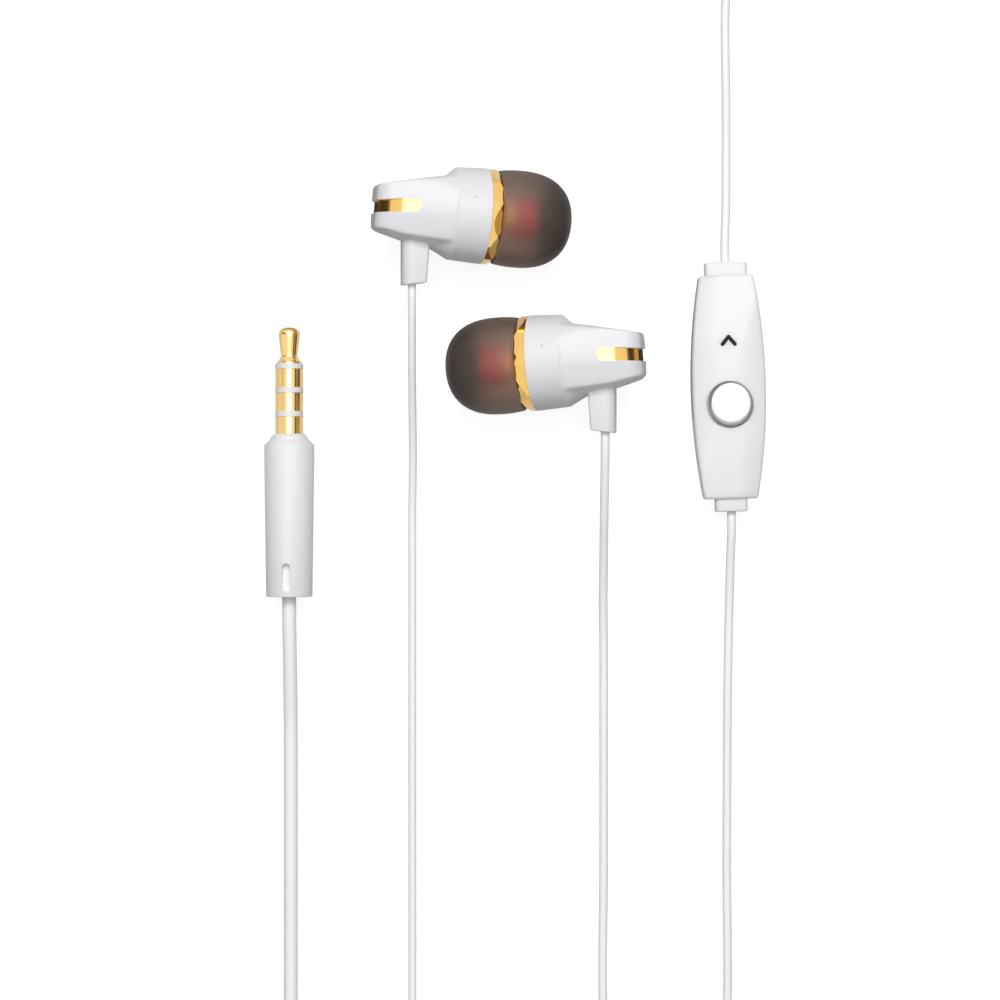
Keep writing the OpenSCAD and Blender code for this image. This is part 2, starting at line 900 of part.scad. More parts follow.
// Rounded points of each run, from one seat to the next.
left_route = concat(
    [left_seat, left_seat + [0, -4, 0]],
    [
        [-12, -8, 6.6], [-12, -14, 4], [-12, -20, 1.8], [-12.1, -26, 0.7],
        [-12.1, -33, 0.5], [-12.1, -60, 0.5], [-12.1, -88, 0.5]
    ]
);
right_route = concat(
    [right_seat, right_seat + [0, -4, 0]],
    [
        [11.9, -26, 6.6], [11.9, -32, 4], [11.9, -38, 1.8], [12, -44, 0.7], [12, -51, 0.6],
        [12, -70, 0.6], [12, -90, 0.6], [12.6, -94, 0.6], [14.4, -97.4, 0.6], [17.4, -99.3, 0.6],
        [20.9, -99.5, 0.6], [24.2, -98.1, 0.6], [26.6, -95, 0.6], [27.4, -91, 0.6], [27.5, -70, 0.6],
        [27.6, -50, 0.6], [27.8, -38, 0.8], [27.9, -32, 1.8]
    ],
    [remote_point(-1) - 4 * remote_dir, remote_point(-1)]
);
link_route = concat(
    [remote_point(1), remote_point(1) + 4 * remote_dir],
    [
        [27.3, 12, 1.8], [27.4, 18, 0.7], [27.4, 25, 0.6], [27.4, 38.2, 0.6], [28, 41.3, 0.6],
        [29.6, 43.4, 0.6], [32.2, 44.4, 0.6], [45, 44.5, 0.6], [57, 44.4, 0.6], [60.8, 43.4, 0.6],
        [63, 41, 0.6], [63.8, 37.4, 0.6], [63.9, 10, 0.6], [63.9, -25, 0.6], [63.9, -60, 0.6],
        [63.8, -93, 0.6], [62.8, -98, 0.6], [60.4, -103, 0.6], [56, -107, 0.6], [50, -109.9, 0.6],
        [43, -111.1, 0.7], [37, -111.2, 1], [32, -111.2, 1.7]
    ],
    [link_entry + [5, 0, 0], link_entry]
);
trunk_route = concat(
    [plug_seat, plug_seat + [0, -9, 0]],
    [
        [-27.4, -47, 2.1], [-27.4, -53, 1.1], [-27.4, -60, 0.9], [-27.4, -75, 0.9], [-27.4, -90, 0.9]
    ]
);

// A coil is wound in and out at a steady rate, four layers high, and climbs where it turns back.
layers = 4;
ear_step = ear_cord_d + 0.45;
trunk_step = trunk_d + 0.45;
loop_rings = 24;
coil_sides = 6;
cord_sides = 8;

ear_coil_at = [-4.85, -97.8];
trunk_coil_at = [-14.05, -119.4];

function zigzag(q) = let (m = q - 2 * floor(q / 2)) m < 1 ? m : 2 - m;
function ease(t) = let (c = min(max(t, 0), 1)) c * c * (3 - 2 * c);
function coil_point(i, centre, turns, mean_r, step, d) =
    let (
        turn = i / loop_rings,
        per_layer = turns / layers,
        q = turn / per_layer,
        r = mean_r + step * per_layer * (0.5 - zigzag(q)),
        z = sum([for (k = [1:layers - 1]) ease((turn - k * per_layer) * 2 + 0.5)]),
        a = 180 + 360 * turn
    )
    [centre.x + r * cos(a), centre.y + r * sin(a), d / 2 + step * z];
function coil_route(centre, turns, mean_r, step, d) =
    let (
        n = round(turns * loop_rings),
        body = [for (i = [0:n]) coil_point(i, centre, turns, mean_r, step, d)],
        out = 180 + 360 * turns,
        first = body[0] + [0, d, 0],
        last = body[n] + d * [-sin(out), cos(out), 0]
    )
    concat([first], body, [last]);

left_coil_route = coil_route(ear_coil_at, ear_turns, ear_coil_r, ear_step, ear_cord_d);
trunk_coil_route = coil_route(trunk_coil_at, trunk_turns, trunk_coil_r, trunk_step, trunk_d);

function last(v) = v[len(v) - 1];
left_run = concat(
    [for (i = [0:len(left_route) - 2]) left_route[i]],
    [left_coil_route[0] + [0, 3, 0], left_coil_route[0]]
);
trunk_run = concat(
    [for (i = [0:len(trunk_route) - 1]) trunk_route[i]],
    [trunk_coil_route[0] + [0, 4, 0], trunk_coil_route[0]]
);
left_tail_run = concat(
    [last(left_coil_route)],
    [
        last(left_coil_route) + [ear_cord_d, 0, 0], [2, -105, 3.6], [7, -105, 1.4], [12, -105, 0.5],
        [20, -105, 0.5], [27, -104.9, 0.5], [29.6, -105.4, 0.6], [31, -107.2, 0.9], [30.2, -109, 1.3],
        [28.4, -109.7, 1.7]
    ],
    [branch_entry + [4, 0, 0], branch_entry]
);
trunk_tail_run = concat(
    [last(trunk_coil_route), last(trunk_coil_route) + [0, trunk_d, 0]],
    [[-0.2, -113.4, 7], [1.4, -111.5, 6.1], [3.8, -110.6, 5.1], [6.6, -110.4, 3.9], [9, -110.4, 3]],
    [trunk_entry + [-2.8, 0, 0], trunk_entry]
);

// A tube swept along its points, square at both ends.
function heading(route, i) =
    let (
        n = len(route) - 1,
        a = i > 0 ? unit(route[i] - route[i - 1]) : [0, 0, 0],
        b = i < n ? unit(route[i + 1] - route[i]) : [0, 0, 0]
    )
    unit(a + b);
function unit(v) = v / norm(v);
function ring_at(route, i, r, sides) =
    let (
        t = heading(route, i),
        side = unit(cross(t, [0, 0, 1])),
        up = cross(side, t)
    )
    [for (k = [0:sides - 1]) let (a = 360 * k / sides) route[i] + r * (cos(a) * up + sin(a) * side)];

module swept(route, d, sides) {
    n = len(route);
    points = [for (i = [0:n - 1]) each ring_at(route, i, d / 2, sides)];
    walls = [
        for (i = [0:n - 2])
            for (k = [0:sides - 1])
                let (
                    a = i * sides + k,
                    b = i * sides + (k + 1) % sides,
                    c = a + sides,
                    e = b + sides
                )
                each [[a, b, c], [b, e, c]]
    ];
    caps = [
        for (k = [1:sides - 2])
            each [[0, k + 1, k], [(n - 1) * sides, (n - 1) * sides + k, (n - 1) * sides + k + 1]]
    ];
    polyhedron(points = points, faces = concat(walls, caps));
}

module cord(route, d) {
    color(cord_white)
        swept(route, d, cord_sides);
}

module coil(route, d) {
    color(cord_white)
        swept(route, d, coil_sides);
}

// Least gap between turns, measured on the points that are half a turn or more apart.
function least_gap(route, d) =
    let (n = len(route) - 1)
    min([
        for (i = [0:n])
            for (j = [i + loop_rings / 2:n])
                norm(route[i] - route[j])
    ]) - d;

function route_length(v) = sum([for (i = [1:len(v) - 1]) norm(v[i] - v[i - 1])]);
echo(left_coil_gap = least_gap(left_coil_route, ear_cord_d));
echo(trunk_coil_gap = least_gap(trunk_coil_route, trunk_d));
echo(left_length = route_length(left_run) + route_length(left_coil_route) + route_length(left_tail_run));
echo(trunk_length = route_length(trunk_run) + route_length(trunk_coil_route) + route_length(trunk_tail_run));
echo(right_length = route_length(right_route), link_length = route_length(link_route));

// ---------------------------------------------------------------- assembly

place_bud(left) housing();  // left_housing
place_bud(left) accent();  // left_accent
place_bud(left) stem();  // left_stem
place_bud(left) ring();  // left_ring
place_bud(left) nozzle();  // left_nozzle
place_bud(left) screen();  // left_screen
place_bud(left) driver_frame();  // left_driver_frame
place_bud(left) magnet();  // left_magnet
place_bud(left) diaphragm();  // left_diaphragm
place_bud(left) terminals();  // left_terminals
place_bud(left) tip_dome();  // left_tip_dome
place_bud(left) tip_core();  // left_tip_core
place_bud(right) housing();  // right_housing
place_bud(right) accent();  // right_accent
place_bud(right) stem();  // right_stem
place_bud(right) ring();  // right_ring
place_bud(right) nozzle();  // right_nozzle
place_bud(right) screen();  // right_screen
place_bud(right) driver_frame();  // right_driver_frame
place_bud(right) magnet();  // right_magnet
place_bud(right) diaphragm();  // right_diaphragm
place_bud(right) terminals();  // right_terminals
place_bud(right) tip_dome();  // right_tip_dome
place_bud(right) tip_core();  // right_tip_core
place_remote() remote_front();
place_remote() remote_back();
place_remote() remote_button();
place_remote() remote_board();
place_remote() remote_switch();
place_remote() remote_mic();
place_remote() remote_collar(collar_up_w, true);  // remote_collar_up
place_remote() remote_collar(collar_down_w, false);  // remote_collar_down
place_plug() plug_tip();
place_plug() plug_insulator(ring_1_top, insulator_1_top, insulator_2_top);  // plug_insulator_1
place_plug() plug_contact(insulator_2_top, ring_1_top);  // plug_ring_1
place_plug() plug_insulator(ring_2_top, insulator_2_top, insulator_3_top);  // plug_insulator_2
place_plug() plug_contact(insulator_3_top, ring_2_top);  // plug_ring_2
place_plug() plug_insulator(sleeve_top, insulator_3_top, shoulder_top);  // plug_insulator_3
place_plug() plug_contact(shoulder_top, sleeve_top);  // plug_sleeve
place_plug() plug_shoulder();
place_plug() plug_boot();
splitter();
cord(left_run, ear_cord_d);  // left_cord
coil(left_coil_route, ear_cord_d);  // left_coil
cord(left_tail_run, ear_cord_d);  // left_tail
cord(right_route, remote_cord_d);  // right_cord
cord(link_route, remote_cord_d);  // link_cord
cord(trunk_run, trunk_d);  // trunk_cord
coil(trunk_coil_route, trunk_d);  // trunk_coil
cord(trunk_tail_run, trunk_d);  // trunk_tail
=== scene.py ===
"""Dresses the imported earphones: smooth shells, gold trim, silicone tips, the plug and the cords."""

import json
from math import acos, cos, pi, radians, sin

import bmesh
import bpy
from mathutils import Matrix, Vector

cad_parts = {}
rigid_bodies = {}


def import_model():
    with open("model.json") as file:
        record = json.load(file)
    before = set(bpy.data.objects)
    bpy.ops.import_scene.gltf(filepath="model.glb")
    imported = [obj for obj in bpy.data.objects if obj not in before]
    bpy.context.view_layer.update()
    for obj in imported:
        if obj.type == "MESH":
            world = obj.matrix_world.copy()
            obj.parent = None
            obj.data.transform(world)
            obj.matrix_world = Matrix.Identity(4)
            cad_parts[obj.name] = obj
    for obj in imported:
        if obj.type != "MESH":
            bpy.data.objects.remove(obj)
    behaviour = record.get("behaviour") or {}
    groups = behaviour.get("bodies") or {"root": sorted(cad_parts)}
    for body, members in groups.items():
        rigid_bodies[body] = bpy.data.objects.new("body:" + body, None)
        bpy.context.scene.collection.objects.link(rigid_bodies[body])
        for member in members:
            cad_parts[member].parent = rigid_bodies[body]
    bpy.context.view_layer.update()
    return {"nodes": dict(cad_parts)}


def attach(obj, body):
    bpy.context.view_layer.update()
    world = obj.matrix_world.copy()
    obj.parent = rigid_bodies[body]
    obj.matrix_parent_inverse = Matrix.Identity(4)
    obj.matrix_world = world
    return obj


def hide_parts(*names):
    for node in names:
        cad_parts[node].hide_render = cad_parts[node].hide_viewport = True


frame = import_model()
nodes = frame["nodes"]

MM = 0.001
LEFT, RIGHT = -1, 1

# ------------------------------------------------------------------ camera

CAMERA_AT = (-1.06, -25.04)
CAMERA_HEIGHT = 454.0
PICTURE_WIDTH = 125.0
PICTURE_LEVEL = 4.0
SENSOR = 36.0

camera_data = bpy.data.cameras.new("Camera")
camera_data.sensor_width = SENSOR
camera_data.lens = SENSOR * (CAMERA_HEIGHT - PICTURE_LEVEL) / PICTURE_WIDTH
camera_data.clip_start = 0.01
camera_data.clip_end = 10.0
camera = bpy.data.objects.new("Camera", camera_data)
camera.location = (CAMERA_AT[0] * MM, CAMERA_AT[1] * MM, CAMERA_HEIGHT * MM)
bpy.context.scene.collection.objects.link(camera)
bpy.context.scene.camera = camera

# ------------------------------------------------------------------ mesh helpers


def keep(bm, name, mat, body, smooth, place=None):
    """Makes an object of a bmesh drawn in millimetres, with its place in its mesh."""
    if place is not None:
        bmesh.ops.transform(bm, matrix=place, verts=bm.verts)
    bmesh.ops.recalc_face_normals(bm, faces=bm.faces)
    bmesh.ops.scale(bm, vec=(MM, MM, MM), verts=bm.verts)
    name = name.replace(" ", "_")
    mesh = bpy.data.meshes.new(name)
    bm.to_mesh(mesh)
    bm.free()
    obj = bpy.data.objects.new(name, mesh)
    bpy.context.scene.collection.objects.link(obj)
    shade(obj, smooth)
    mesh.materials.append(mat)
    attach(obj, body)
    return obj


def shade(obj, angle):
    """Smooth shading, with edges sharper than the angle kept crisp."""
    mesh = obj.data
    for face in mesh.polygons:
        face.use_smooth = True
    bm = bmesh.new()
    bm.from_mesh(mesh)
    for edge in bm.edges:
        edge.smooth = edge.calc_face_angle(0) < radians(angle)
    bm.to_mesh(mesh)
    bm.free()


def spun(profile, steps=96):
    """A solid of revolution about the X axis from (distance along, radius) points."""
    bm = bmesh.new()
    verts = [bm.verts.new((x, 0, r)) for x, r in profile]
    for a, b in zip(verts, verts[1:]):
        bm.edges.new((a, b))
    bmesh.ops.spin(
        bm, geom=bm.verts[:] + bm.edges[:], cent=(0, 0, 0), axis=(1, 0, 0),
        angle=2 * pi, steps=steps, use_merge=True, use_duplicate=False)
    bmesh.ops.remove_doubles(bm, verts=bm.verts, dist=1e-5)
    loose = [f for f in bm.faces if f.calc_area() < 1e-9]
    bmesh.ops.delete(bm, geom=loose, context="FACES_KEEP_BOUNDARY")
    bmesh.ops.recalc_face_normals(bm, faces=bm.faces)
    return bm


def block(lo, hi):
    """A box between two corners."""
    bm = bmesh.new()
    bmesh.ops.create_cube(bm, size=1.0)
    size = [b - a for a, b in zip(lo, hi)]
    bmesh.ops.scale(bm, vec=size, verts=bm.verts)
    bmesh.ops.translate(bm, vec=[(a + b) / 2 for a, b in zip(lo, hi)], verts=bm.verts)
    return bm


def rod(radius, depth, place, segments=32):
    """A round rod along Z, with its middle at its place."""
    bm = bmesh.new()
    bmesh.ops.create_cone(
        bm, cap_ends=True, segments=segments, radius1=radius, radius2=radius, depth=depth, matrix=place)
    return bm


def cut(bm, point, normal):
    """Takes off everything on the side that the normal points to and closes the cut."""
    found = bmesh.ops.bisect_plane(
        bm, geom=bm.verts[:] + bm.edges[:] + bm.faces[:], dist=1e-5,
        plane_co=point, plane_no=normal, clear_outer=True)
    rim = [e for e in found["geom_cut"] if isinstance(e, bmesh.types.BMEdge)]
    if rim:
        bmesh.ops.holes_fill(bm, edges=rim, sides=0)


def soften(bm, radius, segments=3, sharper=20, pick=None):
    """Rounds the edges that are sharper than an angle: all of them, or those that pick chooses."""
    edges = [
        e for e in bm.edges
        if e.is_manifold and e.calc_face_angle(0) > radians(sharper) and (pick is None or pick(e))]
    bmesh.ops.bevel(
        bm, geom=edges, offset=radius, offset_type="OFFSET", segments=segments, profile=0.5,
        affect="EDGES", material=-1, clamp_overlap=True)


def joined(*parts):
    """One bmesh that holds all of the given ones."""
    whole = bmesh.new()
    for bm in parts:
        mesh = bpy.data.meshes.new("part")
        bm.to_mesh(mesh)
        bm.free()
        whole.from_mesh(mesh)
        bpy.data.meshes.remove(mesh)
    return whole


def as_object(bm, name):
    """Puts a bmesh into the scene as a temporary object, for a modifier to work on."""
    mesh = bpy.data.meshes.new(name)
    bm.to_mesh(mesh)
    bm.free()
    obj = bpy.data.objects.new(name, mesh)
    bpy.context.scene.collection.objects.link(obj)
    return obj


def combined(bm, other, how):
    """The boolean of two bmeshes: DIFFERENCE, INTERSECT or UNION."""
    a, b = as_object(bm, "a"), as_object(other, "b")
    change = a.modifiers.new("combine", "BOOLEAN")
    change.operation = how
    change.solver = "EXACT"
    change.use_self = True
    change.object = b
    return baked(a, b)


def baked(obj, *spent):
    """The bmesh of an object with its modifiers applied; the objects are removed."""
    graph = bpy.context.evaluated_depsgraph_get()
    mesh = bpy.data.meshes.new_from_object(obj.evaluated_get(graph))
    bm = bmesh.new()
    bm.from_mesh(mesh)
    for old in (obj,) + spent:
        bpy.data.objects.remove(old)
    bpy.data.meshes.remove(mesh)
    return bm


# ------------------------------------------------------------------ materials


def material(name, color, roughness, metallic=0.0, **sockets):
    """A plain principled material; further sockets are given by name, with _ for spaces."""
    mat = bpy.data.materials.new(name)
    mat.use_nodes = True
    shader = mat.node_tree.nodes["Principled BSDF"]
    shader.inputs["Base Color"].default_value = (*color, 1.0)
    shader.inputs["Roughness"].default_value = roughness
    shader.inputs["Metallic"].default_value = metallic
    for key, value in sockets.items():
        shader.inputs[key.replace("_", " ")].default_value = value
    return mat


def surface_grain_group():
    """Fine unevenness of a moulded or plated surface: a colour, a roughness and a normal."""
    tree = bpy.data.node_groups.new("Surface grain", "ShaderNodeTree")
    face = tree.interface
    for name, kind, value in (
            ("Color", "NodeSocketColor", (0.8, 0.8, 0.8, 1)),
            ("Mottle", "NodeSocketFloat", 0.03),
            ("Roughness", "NodeSocketFloat", 0.3),
            ("Roughness Spread", "NodeSocketFloat", 0.05),
            ("Scale", "NodeSocketFloat", 1500.0),
            ("Bump", "NodeSocketFloat", 0.05)):
        socket = face.new_socket(name=name, in_out="INPUT", socket_type=kind)
        socket.default_value = value
    face.new_socket(name="Color", in_out="OUTPUT", socket_type="NodeSocketColor")
    face.new_socket(name="Roughness", in_out="OUTPUT", socket_type="NodeSocketFloat")
    face.new_socket(name="Normal", in_out="OUTPUT", socket_type="NodeSocketVector")
    new = tree.nodes.new
    enter, leave = new("NodeGroupInput"), new("NodeGroupOutput")
    place = new("ShaderNodeTexCoord")
    fine = new("ShaderNodeTexNoise")
    fine.inputs["Detail"].default_value = 3
    wide = new("ShaderNodeTexNoise")
    wide.inputs["Scale"].default_value = 260
    wide.inputs["Detail"].default_value = 2
    signed = new("ShaderNodeMath")
    signed.operation = "SUBTRACT"
    signed.inputs[1].default_value = 0.5
    spread = new("ShaderNodeMath")
    spread.operation = "MULTIPLY_ADD"
    mottle = new("ShaderNodeMath")
    mottle.operation = "MULTIPLY_ADD"
    mottle.inputs[2].default_value = 1.0
    tint = new("ShaderNodeVectorMath")
    tint.operation = "SCALE"
    bump = new("ShaderNodeBump")
    bump.inputs["Distance"].default_value = 0.00002
    link = tree.links.new
    link(place.outputs["Object"], fine.inputs["Vector"])
    link(enter.outputs["Scale"], fine.inputs["Scale"])
    link(place.outputs["Object"], wide.inputs["Vector"])
    link(wide.outputs["Fac"], signed.inputs[0])
    link(signed.outputs[0], spread.inputs[0])
    link(enter.outputs["Roughness Spread"], spread.inputs[1])
    link(enter.outputs["Roughness"], spread.inputs[2])
    link(signed.outputs[0], mottle.inputs[0])
    link(enter.outputs["Mottle"], mottle.inputs[1])
    link(enter.outputs["Color"], tint.inputs[0])
    link(mottle.outputs[0], tint.inputs["Scale"])
    link(fine.outputs["Fac"], bump.inputs["Height"])
    link(enter.outputs["Bump"], bump.inputs["Strength"])
    link(tint.outputs[0], leave.inputs["Color"])
    link(spread.outputs[0], leave.inputs["Roughness"])
    link(bump.outputs[0], leave.inputs["Normal"])
    return tree


SURFACE_GRAIN = surface_grain_group()


def grained(mat, color, roughness, mottle=0.03, spread=0.06, scale=1500.0, bump=0.05):
    """Feeds a material's colour, roughness and normal from the surface grain group."""
    tree = mat.node_tree
    group = tree.nodes.new("ShaderNodeGroup")
    group.node_tree = SURFACE_GRAIN
    group.inputs["Color"].default_value = (*color, 1)
    group.inputs["Mottle"].default_value = mottle
    group.inputs["Roughness"].default_value = roughness
    group.inputs["Roughness Spread"].default_value = spread
    group.inputs["Scale"].default_value = scale
    group.inputs["Bump"].default_value = bump
    shader = tree.nodes["Principled BSDF"]
    for name in ("Color", "Roughness", "Normal"):
        tree.links.new(group.outputs[name], shader.inputs["Base Color" if name == "Color" else name])
    return mat


def plain(name, color, roughness, metallic=0.0, mottle=0.03, spread=0.06, scale=1500.0, bump=0.05,
          **sockets):
    """A principled material whose surface has some grain."""
    return grained(
        material(name, color, roughness, metallic, **sockets),
        color, roughness, mottle, spread, scale, bump)


glossy_white = plain(
    "Glossy white moulding", (0.82, 0.82, 0.84), 0.4, mottle=0.015, bump=0.03, Specular_IOR_Level=0.3)
remote_white = plain(
    "Remote white moulding", (0.88, 0.88, 0.89), 0.5, mottle=0.01, bump=0.05, Subsurface_Weight=0.5,
    Subsurface_Radius=(1, 1, 1), Subsurface_Scale=0.0015)
satin_white = plain(
    "Satin white elastomer", (0.86, 0.86, 0.865), 0.55, mottle=0.02, bump=0.12, Sheen_Weight=0.35,
    Sheen_Roughness=0.5)
cord_white = plain(
    "Cord jacket", (0.96, 0.97, 0.99), 0.55, mottle=0.015, scale=2600.0, bump=0.05, Sheen_Weight=0.5,
    Sheen_Roughness=0.5)
insulator_white = plain("White insulator", (0.84, 0.84, 0.84), 0.4)
gold = plain(
    "Polished gold plating", (0.92, 0.57, 0.15), 0.13, 1.0, mottle=0.06, spread=0.06, scale=2200.0,
    bump=0.04, Coat_Weight=0.6, Coat_Roughness=0.1)
contact_gold = plain(
    "Contact gold plating", (0.95, 0.66, 0.27), 0.16, 1.0, mottle=0.04, spread=0.05, scale=3000.0,
    bump=0.03)
button_metal = plain("Button metal", (0.4, 0.4, 0.405), 0.34, 1.0, mottle=0.02, scale=4000.0, bump=0.02)
smoky_silicone = plain(
    "Smoky silicone", (0.74, 0.61, 0.54), 0.5, mottle=0.1, spread=0.08, scale=900.0, bump=0.06,
    Transmission_Weight=0.95, IOR=1.35)


def smoke(mat, color, density):
    """Lets the skin swallow light as it passes through, and lets some of the lamps' light in."""
    tree = mat.node_tree
    dark = tree.nodes.new("ShaderNodeVolumeAbsorption")
    dark.inputs["Color"].default_value = (*color, 1)
    dark.inputs["Density"].default_value = density
    tree.links.new(dark.outputs[0], tree.nodes["Material Output"].inputs["Volume"])
    path = tree.nodes.new("ShaderNodeLightPath")
    clear = tree.nodes.new("ShaderNodeBsdfTransparent")
    clear.inputs["Color"].default_value = (0.7, 0.6, 0.54, 1)
    choose = tree.nodes.new("ShaderNodeMixShader")
    tree.links.new(path.outputs["Is Shadow Ray"], choose.inputs["Fac"])
    tree.links.new(tree.nodes["Principled BSDF"].outputs[0], choose.inputs[1])
    tree.links.new(clear.outputs[0], choose.inputs[2])
    tree.links.new(choose.outputs[0], tree.nodes["Material Output"].inputs["Surface"])


smoke(smoky_silicone, (0.45, 0.41, 0.38), 1500.0)
red_silicone = plain("Red silicone", (0.62, 0.03, 0.06), 0.5, mottle=0.08)
satin_gold = plain("Satin gold", (1.0, 0.6, 0.14), 0.45, 0.3, mottle=0.05)
steel = plain("Steel", (0.6, 0.61, 0.63), 0.3, 1.0, mottle=0.05)
dark_plating = plain("Dark plating", (0.05, 0.05, 0.055), 0.4, 0.8)
film = plain("Diaphragm film", (0.2, 0.18, 0.18), 0.35)
board = plain("Circuit board", (0.02, 0.13, 0.06), 0.4, mottle=0.1)
black_plastic = plain("Black plastic", (0.015, 0.015, 0.017), 0.5)
black_felt = plain("Black felt", (0.012, 0.014, 0.012), 0.95, mottle=0.2, bump=0.3)

# ------------------------------------------------------------------ placing the buds

TILT, YAW = 12.0, 4.0
STEM_BACK = 8.99
HOUSING_END = 13.8
BUD_X, BUD_Y, BUD_Z = 3.178, {LEFT: 10.191, RIGHT: -8.049}, 7.067


def bud_place(side):
    """From a bud's own frame, with +X towards the tip and +Y away from its cord, to the part's."""
    mirror = Matrix.Scale(-1 if side == RIGHT else 1, 4, (1, 0, 0))
    turn = Matrix.Rotation(radians(-YAW), 4, "Z") @ Matrix.Rotation(radians(TILT), 4, "Y")
    return Matrix.Translation((side * BUD_X, BUD_Y[side], BUD_Z)) @ mirror @ turn


SIDE_NAME = {LEFT: "left", RIGHT: "right"}


def both(bm, name, mat, body, smooth, node):
    """Keeps one drawn piece on both buds, each in place of its side's node."""
    for side in (LEFT, RIGHT):
        word = SIDE_NAME[side]
        where = "base" if body == "base" else word + "_" + body
        obj = keep(bm.copy(), word.capitalize() + " " + name, mat, where, smooth, bud_place(side))
        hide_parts(word + "_" + node)
    bm.free()


# ------------------------------------------------------------------ housing

DRUM_R, DRUM_BACK_R = 5.93, 5.68
CAVITY_R, CAVITY_BACK = 4.88, -3.95
TAIL_HALF, SIDE_SPREAD = 3.1, 0.29
RIDGE_V, UPPER_LEAN, LOWER_LEAN, KEEL = -0.3, 5.0, 15.0, 10.5
END_ROUND, END_EDGE = 1.5, 0.55
TOP_LINE = [(-HOUSING_END, 2.74), (-5.1, 4.66), (0, 5.7)]
KEEL_LINE = [(-HOUSING_END, 2.95), (-10.2, 3.92), (-6.6, 4.5), (0, 5.6)]
ROUND_LINE = [(-HOUSING_END, DRUM_BACK_R - 0.3), (-5, DRUM_BACK_R), (-0.6, DRUM_R), (0, DRUM_R)]
DRUM_EDGE, EDGE_LEAN, DRUM_SLOPE, SLOPE_SPREAD = -4.15, 0.25, 0.47, 0.42
TAIL_CORNERS, FLUSH_CORNERS, STEP_CORNERS, FLUSH = 36, 8, 60, 1.07
EVEN_FROM = -12.5
VENT_U, VENT_R, VENT_TURN = -2.2, 0.13, 18
SLOT = {"start": 8.5, "y": 0.45, "width": 1.64, "mouth": 1.5, "slope": 5.0, "squash": 0.85}


def along(points, u):
    """Straight-line values between (distance along, value) points."""
    for (a, x), (b, y) in zip(points, points[1:]):
        if u <= b:
            return x + (y - x) * max(0.0, (u - a) / (b - a))
    return points[-1][1]


def least(p, *values):
    """A soft minimum of positive values: corners come out rounder with a smaller p."""
    return sum(v ** -p for v in values) ** (-1 / p)


def most(p, *values):
    """A soft maximum, in the same way."""
    return sum(v ** p for v in values) ** (1 / p)


def end_inset(u, radius):
    """How far the skin turns in near the tail's end, as a round edge does."""
    x = max(0.0, (-HOUSING_END + radius - u) / radius)
    return radius * (1 - (1 - min(x, 1.0) ** 2) ** 0.5)


def shell_radius(u, angle):
    """Distance of the housing's skin from its axis, at an angle from straight up."""
    v, w = cos(angle), abs(sin(angle))
    inset = end_inset(u, END_EDGE)
    top = along(TOP_LINE, u) - inset
    keel = along(KEEL_LINE, u) - inset
    side = TAIL_HALF + SIDE_SPREAD * (u + HOUSING_END) - end_inset(u, END_ROUND)
    planes = [(top, v), (keel * cos(radians(KEEL)), -v * cos(radians(KEEL)) + w * sin(radians(KEEL)))]
    for lean, sign in ((UPPER_LEAN, 1), (LOWER_LEAN, -1)):
        a = radians(lean)
        planes.append((side * cos(a) + sign * RIDGE_V * sin(a), w * cos(a) + sign * v * sin(a)))
    reaches = [d / c for d, c in planes if c > 0.02]
    tail = least(TAIL_CORNERS, *reaches)
    round_part = along(ROUND_LINE, u)
    up = (1 + v) / 2
    edge = DRUM_EDGE + EDGE_LEAN * up
    slope = DRUM_SLOPE + SLOPE_SPREAD * up
    drum = max(0.5, round_part - slope * max(0.0, edge - u))
    flush = least(FLUSH_CORNERS, tail, round_part * FLUSH)
    return min(round_part, most(STEP_CORNERS, flush, drum))


def housing_form():
    """The forked tail and the drum as one skin, its rings closer together at the tail's round end."""
    close = [-HOUSING_END + 0.02 * i ** 2 for i in range(9)]
    even = [EVEN_FROM - EVEN_FROM * i / 110 for i in range(111)]
    sides = 180
    bm = bmesh.new()
    rings = []
    for u in close + even:
        rings.append([])
        for k in range(sides):
            angle = 2 * pi * k / sides
            r = shell_radius(u, angle)
            rings[-1].append(bm.verts.new((u, r * cos(angle), r * sin(angle))))
    for one, two in zip(rings, rings[1:]):
        for k in range(sides):
            m = (k + 1) % sides
            bm.faces.new((one[k], one[m], two[m], two[k]))
    bm.faces.new(rings[0])
    bm.faces.new(rings[-1])
    bmesh.ops.recalc_face_normals(bm, faces=bm.faces)
    return bm


def slot_cutter(extra=0.0):
    """A long peg with one round end, for the fork's slot."""
    half, mouth = SLOT["width"] / 2 + extra, SLOT["mouth"] / 2 + extra
    bm = block((-9, -half, -9), (-half, half, 9))
    for v in bm.verts:
        if v.co.x < -8:
            v.co.y *= mouth / half
    end = Matrix.Translation((-half, 0, 0)) @ Matrix.Diagonal((SLOT["squash"], 1, 1, 1))
    bm = combined(bm, rod(half, 18, end, 48), "UNION")
    place = Matrix.Translation((-SLOT["start"], SLOT["y"], 0)) @ Matrix.Rotation(
        radians(SLOT["slope"]), 4, "Z")
    bmesh.ops.transform(bm, matrix=place, verts=bm.verts)
    return bm


def housing():
    """The form with its slot, its vent and the hollow that holds the driver."""
    shell = combined(housing_form(), slot_cutter(), "DIFFERENCE")
    vent = Matrix.Rotation(radians(-VENT_TURN), 4, "X") @ Matrix.Translation((VENT_U, 0, 7.6))
    shell = combined(shell, rod(VENT_R, 4, vent, 16), "DIFFERENCE")
    hollow = spun([(CAVITY_BACK, 0), (CAVITY_BACK, CAVITY_R), (1, CAVITY_R), (1, 0)])
    return combined(shell, hollow, "DIFFERENCE")


both(housing(), "housing shell", glossy_white, "base", 35, "housing")


BAR_DEPTH, BAR_ROUND, BAR_TURN = 0.45, 5.2, 36.5


